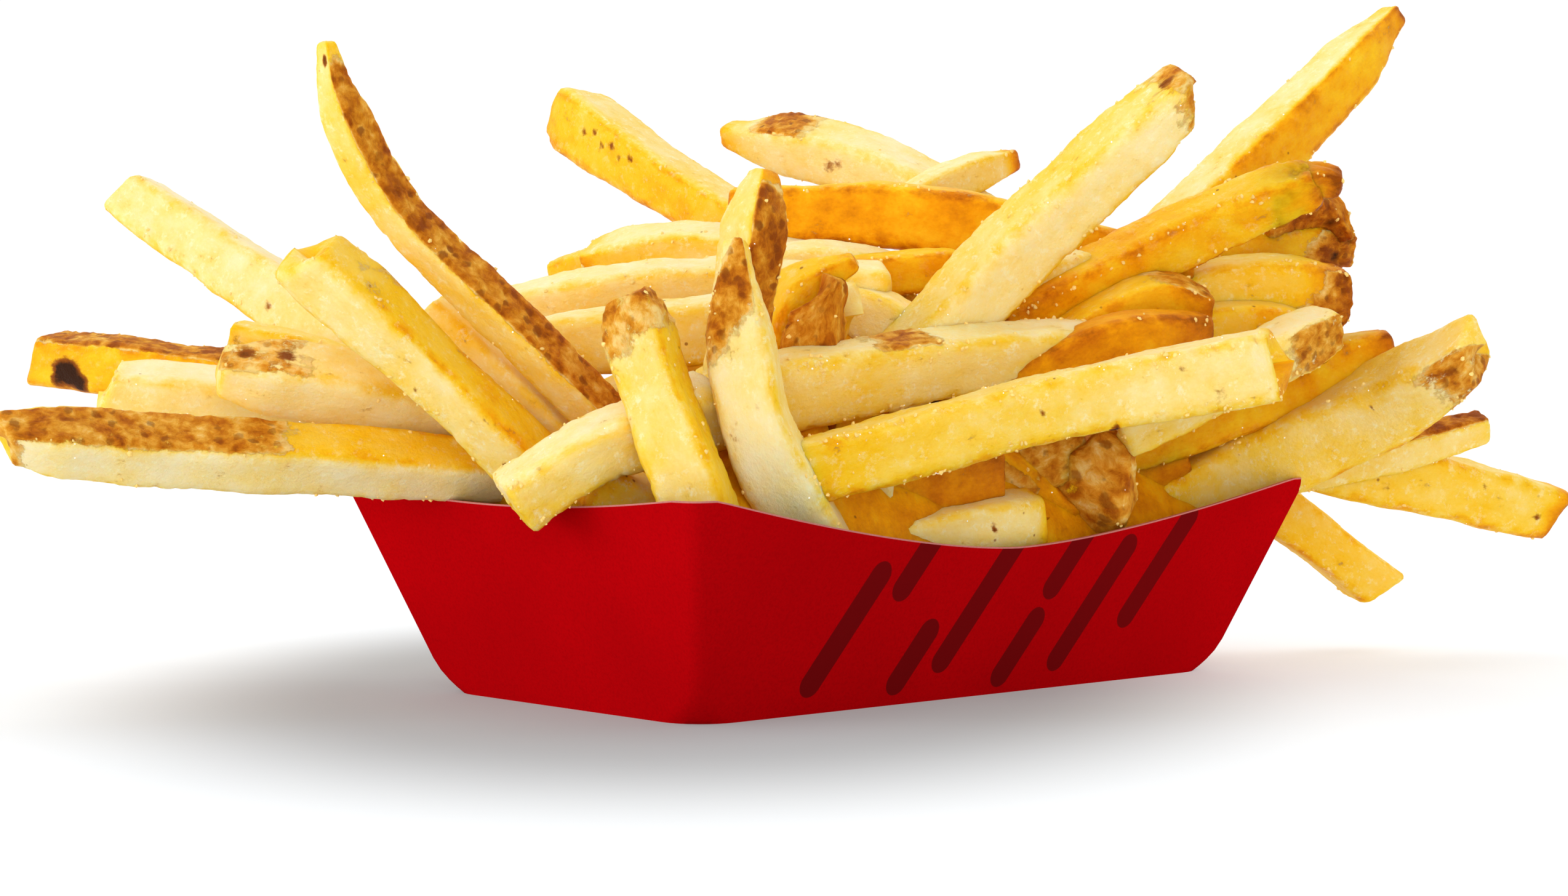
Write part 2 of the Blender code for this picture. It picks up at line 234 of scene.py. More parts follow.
def potatoMaterial(name, look, roughness=0.46):
    material, tree, shader = newMaterial(name)
    grain = addNode(tree, "ShaderNodeAttribute", attribute_name="grain").outputs["Vector"]
    tone = addNode(tree, "ShaderNodeAttribute", attribute_name="tone").outputs["Fac"]
    skin = addNode(tree, "ShaderNodeAttribute", attribute_name="skin").outputs["Fac"]
    mark = addNode(tree, "ShaderNodeAttribute", attribute_name="mark").outputs["Fac"]
    edge = addNode(tree, "ShaderNodeAttribute", attribute_name="edge").outputs["Fac"]
    stretched = vectorCalc(tree, "MULTIPLY", grain, (1.0, 1.0, 0.75))
    blotch = noiseAt(tree, grain, 0.12, 2)
    lump = noiseAt(tree, stretched, 0.42, 4, 0.6)
    fine = noiseAt(tree, stretched, 1.9, 5, 0.7)

    # how far each spot is fried: the cut's own tone (with painted shade toward some feet and on fries deep in the
    # gaps), blotches, and darker edges
    fried = calc(tree, "MULTIPLY_ADD", calc(tree, "SUBTRACT", blotch, 0.5), 0.4, tone)
    fried = calc(tree, "MULTIPLY_ADD", calc(tree, "SUBTRACT", lump, 0.5), 0.3, fried)
    fried = calc(tree, "MULTIPLY_ADD", calc(tree, "SUBTRACT", fine, 0.5), 0.16, fried)
    rim = calc(tree, "MULTIPLY", edge, remap(tree, lump, 0.36, 0.62))
    fried = calc(tree, "MULTIPLY_ADD", rim, 0.16, fried)
    flesh = colourRamp(tree, fried, look["tones"])

    # dry, starchy patches that stay pale
    dry = noiseAt(tree, grain, 0.62, 5, 0.75)
    dryShare = calc(tree, "MULTIPLY", remap(tree, dry, 0.54, 0.68, 0, 0.6), remap(tree, tone, 0.65, 0.3))
    flesh = mixColour(tree, dryShare, flesh, look["dry"])

    # small brown specks, one in a few cells
    cells = addNode(tree, "ShaderNodeTexVoronoi", {"Vector": grain, "Scale": 0.3})
    chance = addNode(tree, "ShaderNodeSeparateXYZ", {0: cells.outputs["Color"]}).outputs[0]
    near = remap(tree, cells.outputs["Distance"], 0.05, 0.1, 1, 0, smooth=True)
    specks = calc(tree, "MULTIPLY", near, remap(tree, chance, 0.86, 0.9))
    flesh = mixColour(tree, calc(tree, "MULTIPLY", specks, 0.8), flesh, look["speck"])

    # skin left on the cut: broken borders, wrinkles and dark freckles
    border = calc(tree, "MULTIPLY_ADD", calc(tree, "SUBTRACT", lump, 0.5), 1.7, skin)
    border = calc(tree, "MULTIPLY_ADD", calc(tree, "SUBTRACT", fine, 0.5), 0.8, border)
    skinShare = remap(tree, border, 0.36, 0.56, smooth=True)
    wrinkles = noiseAt(tree, vectorCalc(tree, "MULTIPLY", grain, (1.0, 1.0, 0.7)), 0.8, 6, 0.74, 0.5)
    mottle = calc(tree, "MULTIPLY_ADD", calc(tree, "SUBTRACT", noiseAt(tree, grain, 0.35, 2), 0.5), 1.2, wrinkles)
    peelTone = calc(tree, "SUBTRACT", mottle, calc(tree, "MULTIPLY", calc(tree, "SUBTRACT", skin, 0.85), 0.8))
    peel = colourRamp(tree, peelTone, look["skins"])
    bent = vectorCalc(tree, "ADD", grain, vectorCalc(tree, "SCALE", addNode(
        tree, "ShaderNodeTexNoise", {"Vector": grain, "Scale": 0.7, "Detail": 3.0}).outputs["Color"], 1.6))
    pores = addNode(tree, "ShaderNodeTexVoronoi", {"Vector": bent, "Scale": 0.5})
    poreChance = addNode(tree, "ShaderNodeSeparateXYZ", {0: pores.outputs["Color"]}).outputs[0]
    freckles = calc(tree, "MULTIPLY", remap(tree, pores.outputs["Distance"], 0.22, 0.42, 1, 0, smooth=True),
                    remap(tree, poreChance, 0.35, 0.5))
    peel = mixColour(tree, calc(tree, "MULTIPLY", freckles, remap(tree, skin, 0.5, 1.0, 0.25, 0.8)),
                     peel, look["freckle"])
    colour = mixColour(tree, skinShare, flesh, peel)

    # burnt spots: nearly black inside a scorched rim
    burnt = calc(tree, "MULTIPLY_ADD", calc(tree, "SUBTRACT", fine, 0.5), 0.5, mark)
    burnt = calc(tree, "MULTIPLY_ADD", calc(tree, "SUBTRACT", lump, 0.5), 0.9, burnt)
    colour = mixColour(tree, remap(tree, burnt, 0.12, 0.5, smooth=True), colour, look["scorch"])
    colour = mixColour(tree, remap(tree, burnt, 0.45, 0.95, smooth=True), colour, look["mark"])
    tree.links.new(colour, shader.inputs["Base Color"])

    rough = calc(tree, "MULTIPLY_ADD", lump, 0.25, roughness - 0.12)
    rough = calc(tree, "MULTIPLY_ADD", skinShare, 0.1, rough)
    tree.links.new(rough, shader.inputs["Roughness"])
    shader.inputs["Subsurface Weight"].default_value = 0.5
    shader.inputs["Subsurface Radius"].default_value = (1.0, 0.62, 0.24)
    shader.inputs["Subsurface Scale"].default_value = 0.0025
    shader.inputs["Specular IOR Level"].default_value = 0.11
    shader.inputs["Specular Tint"].default_value = (1.0, 0.84, 0.5, 1)

    blisters = noiseAt(tree, grain, 1.3, 4, 0.65)
    height = calc(tree, "MULTIPLY_ADD", fine, 0.8, calc(tree, "MULTIPLY", blisters, 1.0))
    height = calc(tree, "MULTIPLY_ADD", calc(tree, "MULTIPLY", skinShare, wrinkles), 2.2, height)
    bump = addNode(tree, "ShaderNodeBump", {"Strength": 0.8, "Distance": 0.0003, "Height": height})
    tree.links.new(bump.outputs[0], shader.inputs["Normal"])
    return material


friedPotato = potatoMaterial("fried_potato_flesh", potatoLook)


# one cut stick is swept along each rail
def buildStickTree():
    tree, entry = geometryTree("cutStick", {"Sides": ("Int", 36), "Corner": ("Float", 0.34),
                                            "Material": ("Material", None)})
    facing = readField(tree, "facing", "FLOAT_VECTOR")
    rail = addNode(tree, "GeometryNodeMeshToCurve", {"Mesh": entry["Geometry"]}).outputs[0]
    rail = addNode(tree, "GeometryNodeSetCurveNormal", {"Curve": rail, "Normal": facing}, mode="FREE")
    square = addNode(tree, "GeometryNodeCurvePrimitiveQuadrilateral", {"Width": 2.0, "Height": 2.0})
    eased = addNode(tree, "GeometryNodeFilletCurve", {"Curve": square.outputs[0], "Count": 6,
                                                      "Radius": entry["Corner"]}, mode="POLY")
    even = addNode(tree, "GeometryNodeResampleCurve", {"Curve": eased.outputs[0], "Count": entry["Sides"]},
                   mode="COUNT")
    place = addNode(tree, "GeometryNodeInputPosition").outputs[0]
    outline = storeField(tree, even.outputs[0], "section", place, "FLOAT_VECTOR")
    girth = readField(tree, "girth")
    swept = addNode(tree, "GeometryNodeCurveToMesh", {"Curve": rail.outputs[0], "Profile Curve": outline,
                                                      "Scale": girth, "Fill Caps": True}).outputs[0]

    section = addNode(tree, "ShaderNodeSeparateXYZ", {0: readField(tree, "section", "FLOAT_VECTOR")})
    forward, sideways = section.outputs[0], section.outputs[1]
    upper = calc(tree, "MULTIPLY", sideways, readField(tree, "handed"))
    slant = addNode(tree, "ShaderNodeSeparateXYZ", {0: readField(tree, "slant", "FLOAT_VECTOR")})
    shift = calc(tree, "ADD", calc(tree, "MULTIPLY", forward, slant.outputs[0]),
                 calc(tree, "MULTIPLY", upper, slant.outputs[1]))
    axis = readField(tree, "axis", "FLOAT_VECTOR")
    cutBack = vectorCalc(tree, "SCALE", axis, shift)
    across = vectorCalc(tree, "CROSS_PRODUCT", axis, facing)
    wider = calc(tree, "MULTIPLY", calc(tree, "MULTIPLY", sideways, girth),
                 calc(tree, "SUBTRACT", readField(tree, "broad"), 1.0))
    offset = vectorCalc(tree, "ADD", cutBack, vectorCalc(tree, "SCALE", across, wider))
    shaped = addNode(tree, "GeometryNodeSetPosition", {"Geometry": swept, "Offset": offset}).outputs[0]

    # the stick's own coordinates, in millimetres, for relief and colour
    size = calc(tree, "DIVIDE", girth, mm)
    own = addNode(tree, "ShaderNodeCombineXYZ", {0: calc(tree, "MULTIPLY", forward, size),
                                                 1: calc(tree, "MULTIPLY", upper, size),
                                                 2: readField(tree, "along")}).outputs[0]
    far = vectorCalc(tree, "SCALE", addNode(tree, "ShaderNodeCombineXYZ", {0: 37.0, 1: 11.0, 2: 23.0}).outputs[0],
                     readField(tree, "fryNumber"))
    marked = storeField(tree, shaped, "grain", vectorCalc(tree, "ADD", own, far), "FLOAT_VECTOR")
    sides = addNode(tree, "ShaderNodeCombineXYZ", {0: forward, 1: upper}).outputs[0]
    marked = storeField(tree, marked, "section", sides, "FLOAT_VECTOR")
    smooth = addNode(tree, "GeometryNodeSetShadeSmooth", {"Geometry": marked}).outputs[0]
    closeTree(tree, smooth, entry["Material"])
    return tree


stickTree = buildStickTree()


# swelling, lumps, chipped edges and wrinkled skin
def buildReliefTree():
    tree, entry = geometryTree("friedRelief", {
        "Swell": ("Float", 0.0006), "Lump": ("Float", 0.00035), "Grain": ("Float", 0.00019),
        "Chip": ("Float", 0.0006), "Wrinkle": ("Float", 0.0003), "Tear": ("Float", 0.001),
        "Material": ("Material", None)})
    grain = readField(tree, "grain", "FLOAT_VECTOR")
    torn = readField(tree, "torn")
    rough = readField(tree, "rough")
    edge = readField(tree, "edge")
    skin = readField(tree, "skin")
    stretched = vectorCalc(tree, "MULTIPLY", grain, (1.0, 1.0, 0.4))
    swell = calc(tree, "MULTIPLY", calc(tree, "SUBTRACT", noiseAt(tree, grain, 0.09, 1), 0.5), 2.0)
    lump = calc(tree, "MULTIPLY", calc(tree, "SUBTRACT", noiseAt(tree, stretched, 0.33, 3), 0.5), 2.0)
    small = calc(tree, "MULTIPLY", calc(tree, "SUBTRACT", noiseAt(tree, grain, 1.1, 3, 0.6), 0.5), 2.0)
    rise = calc(tree, "MULTIPLY", swell, entry["Swell"])
    rise = calc(tree, "MULTIPLY_ADD", lump, entry["Lump"], rise)
    rise = calc(tree, "MULTIPLY_ADD", calc(tree, "MULTIPLY", small, calc(tree, "ADD", rough, 0.6)),
                entry["Grain"], rise)
    chips = remap(tree, noiseAt(tree, grain, 0.55, 3, 0.6), 0.52, 0.7)
    chips = calc(tree, "MULTIPLY", calc(tree, "MULTIPLY", chips, edge), calc(tree, "ADD", rough, 0.3))
    rise = calc(tree, "SUBTRACT", rise, calc(tree, "MULTIPLY", chips, entry["Chip"]))
    ridges = calc(tree, "ABSOLUTE", calc(tree, "SUBTRACT", noiseAt(tree, grain, 0.7, 4, 0.6, 0.8), 0.5))
    ridges = calc(tree, "SUBTRACT", 0.12, ridges)
    rise = calc(tree, "MULTIPLY_ADD", calc(tree, "MULTIPLY", ridges, skin),
                calc(tree, "MULTIPLY", entry["Wrinkle"], 6.0), rise)
    rags = calc(tree, "MULTIPLY", calc(tree, "SUBTRACT", noiseAt(tree, grain, 0.36, 3, 0.7), 0.56), 2.6)
    rise = calc(tree, "MULTIPLY_ADD", calc(tree, "MULTIPLY", rags, torn), entry["Tear"], rise)
    normal = addNode(tree, "GeometryNodeInputNormal").outputs[0]
    moved = addNode(tree, "GeometryNodeSetPosition", {"Geometry": entry["Geometry"],
                                                      "Offset": vectorCalc(tree, "SCALE", normal, rise)})
    closeTree(tree, moved.outputs[0], entry["Material"])
    return tree


reliefTree = buildReliefTree()


fanTurn = Matrix.Rotation(math.radians(-42), 3, "Z")   # the heap fans out across the front corner
upwards = Vector((0, 0, 1))
stickLook = {"spacing": 0.7, "capRings": [(0.03, 0.0), (0.3, 0.02), (0.6, 0.06), (0.82, 0.15), (0.94, 0.4)],
             "capEnd": 0.9, "taper": 9.0, "play": 0.08}


def fromFan(point):
    return fanTurn @ (Vector(point) * mm)


def smoothRoute(points, count):
    # Catmull-Rom through the points, read at even steps
    ends = [points[0] * 2 - points[1]] + points + [points[-1] * 2 - points[-2]]
    spans = len(points) - 1
    result = []
    for k in range(count):
        at = k / (count - 1) * spans
        span = min(int(at), spans - 1)
        t = at - span
        a, b, c, d = ends[span:span + 4]
        result.append(0.5 * (2 * b + (c - a) * t + (2 * a - 5 * b + 4 * c - d) * t ** 2
                             + (3 * b - a - 3 * c + d) * t ** 3))
    return result


def evenPlaces(route, distances):
    # places and directions on the smooth route, at distances from its tip
    dense = smoothRoute(route, 40 * (len(route) - 1) + 1)
    steps = [0.0]
    for a, b in zip(dense, dense[1:]):
        steps.append(steps[-1] + (b - a).length)
    flat = np.array(dense)
    aims = np.gradient(flat, axis=0)
    places = np.column_stack([np.interp(distances, steps, flat[:, k]) for k in range(3)])
    heads = np.column_stack([np.interp(distances, steps, aims[:, k]) for k in range(3)])
    return places, heads / np.linalg.norm(heads, axis=1)[:, None]


def routeLength(route):
    dense = smoothRoute(route, 40 * (len(route) - 1) + 1)
    return sum((b - a).length for a, b in zip(dense, dense[1:]))


def railOf(stick, number, front, look):
    # the rings of one stick from tip to foot, as rows of values
    route = stick["route"]
    length = routeLength(route) / mm
    rounding = stick["rounding"]
    body = np.arange(look["capEnd"] * rounding, length - look["capEnd"], look["spacing"])
    rings = [(d * rounding, s) for s, d in look["capRings"]] + [(d, 1.0) for d in body]
    rings += [(length - d, s) for s, d in reversed(look["capRings"])]
    distances = np.array([d for d, s in rings])
    shares = np.array([s for d, s in rings])
    places, heads = evenPlaces(route, distances * mm)
    chord = route[-1] - route[0]
    rightwards = upwards.cross(front)
    handed = 1 if chord.cross(front).dot(upwards + 0.3 * rightwards) > 0 else -1
    face = np.array(front) - heads * (heads @ np.array(front))[:, None]
    face /= np.linalg.norm(face, axis=1)[:, None]
    side = np.cross(heads, face) * handed
    twist = np.radians(stick["twist"]) * (distances / length - 0.3)
    roll = math.radians(stick["roll"]) + twist
    facing = face * np.cos(roll)[:, None] - side * np.sin(roll)[:, None]
    rng = random.Random(number)
    phase = [rng.uniform(0, 6.28) for _ in range(4)]
    swing = np.sin(distances / 9.0 + phase[0]) + np.sin(distances / 21.0 + phase[1])
    taper = stick["tip"] + (1 - stick["tip"]) * smoothStep(-0.5, stick["taper"], distances)
    girth = stick["size"] / 2 * mm * taper * (1 + look["play"] * 0.5 * swing)
    broad = stick["broad"] * (1 + look["play"] * np.sin(distances / 15.0 + phase[2]))
    fade = np.clip(1 - distances / 7.0, 0, 1) ** 1.5
    foot = np.clip(1 - (length - distances) / 7.0, 0, 1) ** 1.5
    slant = np.outer(fade, np.array([*stick["slant"], 0])) * mm
    slant -= np.outer(foot, [rng.uniform(-1.5, 1.5), rng.uniform(-1.5, 1.5), 0]) * mm
    count = len(rings)
    return {"place": places, "axis": heads, "facing": facing, "girth": girth * shares,
            "broad": np.resize(broad, count), "handed": np.full(count, handed), "along": distances,
            "share": shares, "fryNumber": np.full(count, number), "slant": slant, "length": length}


def sweepSticks(name, sticks, firstNumber, front, look, sides=36):
    rails = [railOf(stick, firstNumber + k, front, look) for k, stick in enumerate(sticks)]
    verts = np.concatenate([r["place"] for r in rails])
    edges = []
    start = 0
    for rail in rails:
        count = len(rail["place"])
        edges += [(start + k, start + k + 1) for k in range(count - 1)]
        start += count
    obj = meshObject(name, verts.tolist(), edges)
    for key in ("girth", "broad", "handed", "along", "share", "fryNumber"):
        setField(obj.data, key, np.concatenate([r[key] for r in rails]))
    for key in ("axis", "facing", "slant"):
        setField(obj.data, key, np.concatenate([r[key] for r in rails]), "FLOAT_VECTOR")
    runTree(obj, stickTree, {"Sides": sides, "Material": friedPotato})
    paintSticks(obj.data, sticks, firstNumber, [r["length"] for r in rails])
    return runTree(obj, reliefTree, {"Material": friedPotato})


def paintSticks(mesh, sticks, firstNumber, lengths):
    section = getField(mesh, "section", 3)
    along = getField(mesh, "along")
    share = getField(mesh, "share")
    number = np.rint(getField(mesh, "fryNumber")).astype(int) - firstNumber
    forward, upper = section[:, 0], section[:, 1]
    onFace = smoothStep(-0.12, 0.12, np.abs(forward) - np.abs(upper))
    facets = {"front": onFace * (forward > 0), "back": onFace * (forward <= 0),
              "upper": (1 - onFace) * (upper > 0), "lower": (1 - onFace) * (upper <= 0)}
    across = {"front": upper, "back": upper, "upper": forward, "lower": forward}
    onBody = smoothStep(0.9, 1.0, share)
    edge = smoothStep(0.55, 0.85, np.minimum(np.abs(forward), np.abs(upper))) * onBody
    edge = np.maximum(edge, 0.6 * smoothStep(0.5, 0.9, share) * (share < 0.99))
    tone = np.zeros(len(along))
    skin = np.zeros(len(along))
    mark = np.zeros(len(along))
    rough = np.zeros(len(along))
    torn = np.zeros(len(along))
    for k, stick in enumerate(sticks):
        mine = number == k
        a = along[mine]
        fromEnds = np.minimum(a, lengths[k] - a)
        t = sum(facets[side][mine] * value for side, value in zip(("front", "upper", "lower", "back"), stick["tone"]))
        # painted shade: the tone grows toward the foot, where the fry goes down into the heap (a negative value paints
        # light there)
        t = t + stick["paintedFootShade"] * a / lengths[k]
        t = t + stick["tipTone"] * smoothStep(0, 1, 1 - a / stick["tipReach"])
        t = t + 0.08 * np.clip(1 - fromEnds / 2.5, 0, 1)
        s = np.zeros(len(a))
        for side, start, end, strength, *lean in stick["skin"]:
            where = facets[side][mine] if side != "all" else 1.0
            slide = (lean[0] if lean else 0.0) * (across[side][mine] if side != "all" else upper[mine])
            patch = smoothStep(start - 3, start + 2, a + slide) * (1 - smoothStep(end - 3, end + 4, a + slide))
            s = np.maximum(s, where * patch * strength)
        m = np.zeros(len(a))
        for side, place, off, radius, strength in stick["marks"]:
            gapAlong = a - place
            gapAcross = (across[side][mine] - off) * stick["size"] / 2
            far = np.sqrt(gapAlong ** 2 + gapAcross ** 2)
            m = np.maximum(m, strength * (1 - smoothStep(radius * 0.3, radius * 1.4, far)) * (facets[side][mine] > 0.3))
        tone[mine], skin[mine], mark[mine], rough[mine] = t, s, m, stick["rough"]
        if stick["torn"]:
            torn[mine] = (1 - smoothStep(stick["torn"] * 0.5, stick["torn"], a)) * smoothStep(0.4, 0.95, share[mine])
    fields = {"tone": tone, "skin": skin, "mark": mark, "rough": rough, "torn": torn, "edge": edge}
    for key, values in fields.items():
        setField(mesh, key, values)


plainStick = {"roll": 10, "tip": 0.9, "taper": 9.0, "broad": 1.0, "twist": 0, "slant": (0, 0), "tone": (0.3, 0.35, 0.45, 0.4),
              "paintedFootShade": 0.0, "tipTone": 0.0, "tipReach": 8.0, "skin": [], "marks": [], "rough": 0.3,
              "rounding": 1.0, "torn": 0.0}


def completed(sticks):
    # fills in what a stick leaves unsaid and places its route
    full = []
    for stick in sticks.values():
        whole = dict(plainStick, **stick)
        whole["route"] = [fromFan(p) for p in stick["route"]]
        full.append(whole)
    return full


# Each stick: size in mm, roll in degrees (how far its upper or right-hand side turns
# to the front), the tip's size, a route from tip to foot in the fan's frame in mm, and
# tones for its front, upper, lower and back sides, from 0 (pale) to 1 (brown).
paleFries = {
    "farLeft": dict(size=9.4, roll=4, tip=0.95, route=[(-120, 45, 78), (-88, 20, 58), (-56, -3, 37)],
                    tone=(0.2, 0.12, 0.46, 0.4), slant=(0, 1.5), rough=0.1, marks=[("front", 44, -0.3, 0.6, 0.4)]),
    "shortPale": dict(size=8.6, roll=20, tip=0.95, route=[(-108, -25, 45), (-86, -22, 42), (-52, -14, 36)],
                      tone=(0.2, 0.1, 0.4, 0.3), slant=(0, 1)),
    "wideHero": dict(size=9.0, roll=28, tip=0.9, route=[(-75, -50, 64), (-63, -47, 53), (-49, -42, 39), (-34, -34, 22)],
                     tone=(0.2, 0.44, 0.4, 0.4), paintedFootShade=0.14, slant=(0, 1.4), rounding=1.6,
                     skin=[("upper", 6, 14, 0.3)],
                     marks=[("front", 40, 0.0, 0.5, 0.8), ("front", 24, -0.5, 0.4, 0.6)]),
    "slim": dict(size=6.5, roll=20, tip=0.7, route=[(-60, -33, 57), (-47, -33, 44), (-34, -28, 31)],
                 tone=(0.3, 0.3, 0.4, 0.5)),
    "overEnd": dict(size=9.0, roll=25, tip=1.05, route=[(-46, -57, 30), (-35, -56, 37), (-18, -47, 43)],
                    tone=(0.3, 0.14, 0.36, 0.3), slant=(0.4, 0), rough=0.9),
    "paleHero": dict(size=9.6, roll=8, tip=0.42, taper=17, rounding=2.2, route=[(-16, -50, 66), (-15, -52, 51), (-12, -53, 38), (-3, -42, 21)],
                     tone=(0.18, 0.34, 0.28, 0.3), paintedFootShade=-0.12, rough=0.7,
                     skin=[("front", 1, 13, 0.95, 5), ("lower", 4, 19, 0.8)], marks=[("front", 24, 0.4, 0.4, 0.5)]),
    "barA": dict(size=9.4, roll=18, tip=0.9, route=[(38, -14, 51), (14, -27, 49), (-20, -42, 43)],
                 tone=(0.24, 0.12, 0.36, 0.3), paintedFootShade=0.14, rough=0.9, skin=[("upper", 30, 39, 0.9)]),
    "barB": dict(size=9.2, roll=5, tip=1.0, route=[(62, -31, 49), (30, -38, 43), (-10, -50, 33)],
                 tone=(0.2, 0.14, 0.34, 0.3), paintedFootShade=0.3, tipTone=0.3, tipReach=2.2, slant=(2.2, 0.4),
                 rough=1.0,
                 marks=[("front", 11, -0.5, 1.3, 0.3), ("front", 16, 0.5, 0.4, 0.8), ("lower", 27, 0.7, 0.9, 1.2),
                        ("front", 38, 0.1, 0.4, 0.7)]),
    "behindB": dict(size=7.6, roll=28, tip=0.8, route=[(75, -4, 55), (62, -11, 49), (42, -14, 39)],
                    tone=(0.3, 0.14, 0.5, 0.4), skin=[("front", 0, 12, 0.8)]),
    "backMidTop": dict(size=10.0, roll=35, tip=0.4, taper=14, rounding=1.8, route=[(-19, 60, 90), (6, 45, 83), (36, 24, 62)],
                       tone=(0.2, 0.18, 0.42, 0.3), tipTone=0.3, rough=0.1, tipReach=10,
                       skin=[("upper", 8, 18, 1.0)], marks=[("front", 25, 0.0, 1.3, 0.34), ("front", 26.8, 0.2, 1.3, 0.34)]),
    "bigDiagonal": dict(size=9.8, roll=30, tip=0.8, route=[(50, -22, 89), (27, -17, 67.5), (4, -20, 43)],
                        tone=(0.2, 0.32, 0.44, 0.4), slant=(0, -2), rounding=1.6, tipTone=0.4, tipReach=4, rough=0.5,
                        skin=[("front", -3, 2, 0.8), ("upper", -3, 3, 0.9)], marks=[("upper", 2.5, 0.2, 1.2, 0.6)]),
    "hanging": dict(size=9.6, roll=0, tip=1.0, route=[(94, 50, 11), (79, 43, 22), (42, 30, 50)],
                    tone=(0.42, 0.36, 0.5, 0.4), slant=(0, -2), rough=0.1),
    "backPairA": dict(size=8.2, roll=25, tip=0.8, route=[(-41, 30, 66), (-23, 20, 68), (4, 10, 62)],
                      tone=(0.36, 0.14, 0.5, 0.4), tipTone=0.25),
    "pinkish": dict(size=7.2, roll=20, tip=0.9, route=[(-54, -2, 57), (-28, -6, 61), (6, -8, 60)],
                    tone=(0.26, 0.16, 0.4, 0.3)),
    "yellowMid": dict(size=9.0, roll=10, tip=0.9, route=[(-50, -18, 51), (-30, -21, 53), (0, -22, 56)],
                      tone=(0.3, 0.2, 0.45, 0.4)),
    "strip": dict(size=6.8, roll=20, tip=0.9, route=[(12, 6, 62), (-4, 3, 65), (-22, 0, 62)], tone=(0.16, 0.12, 0.3, 0.3)),
    "creamBack": dict(size=8.8, roll=15, tip=0.8, route=[(-1, -8, 59), (8, -13, 54), (22, -18, 44)],
                      tone=(0.2, 0.14, 0.4, 0.3), paintedFootShade=0.3),
    "beige": dict(size=8.4, roll=15, tip=0.9, route=[(38, -2, 63), (26, -6, 59), (8, -12, 50)],
                  tone=(0.26, 0.18, 0.4, 0.3), paintedFootShade=0.3),
    "smallTip": dict(size=6.6, roll=20, tip=0.6, route=[(30, 40, 84), (16, 30, 78), (-4, 20, 66)],
                     tone=(0.3, 0.2, 0.4, 0.3), tipTone=0.5, tipReach=5),
}
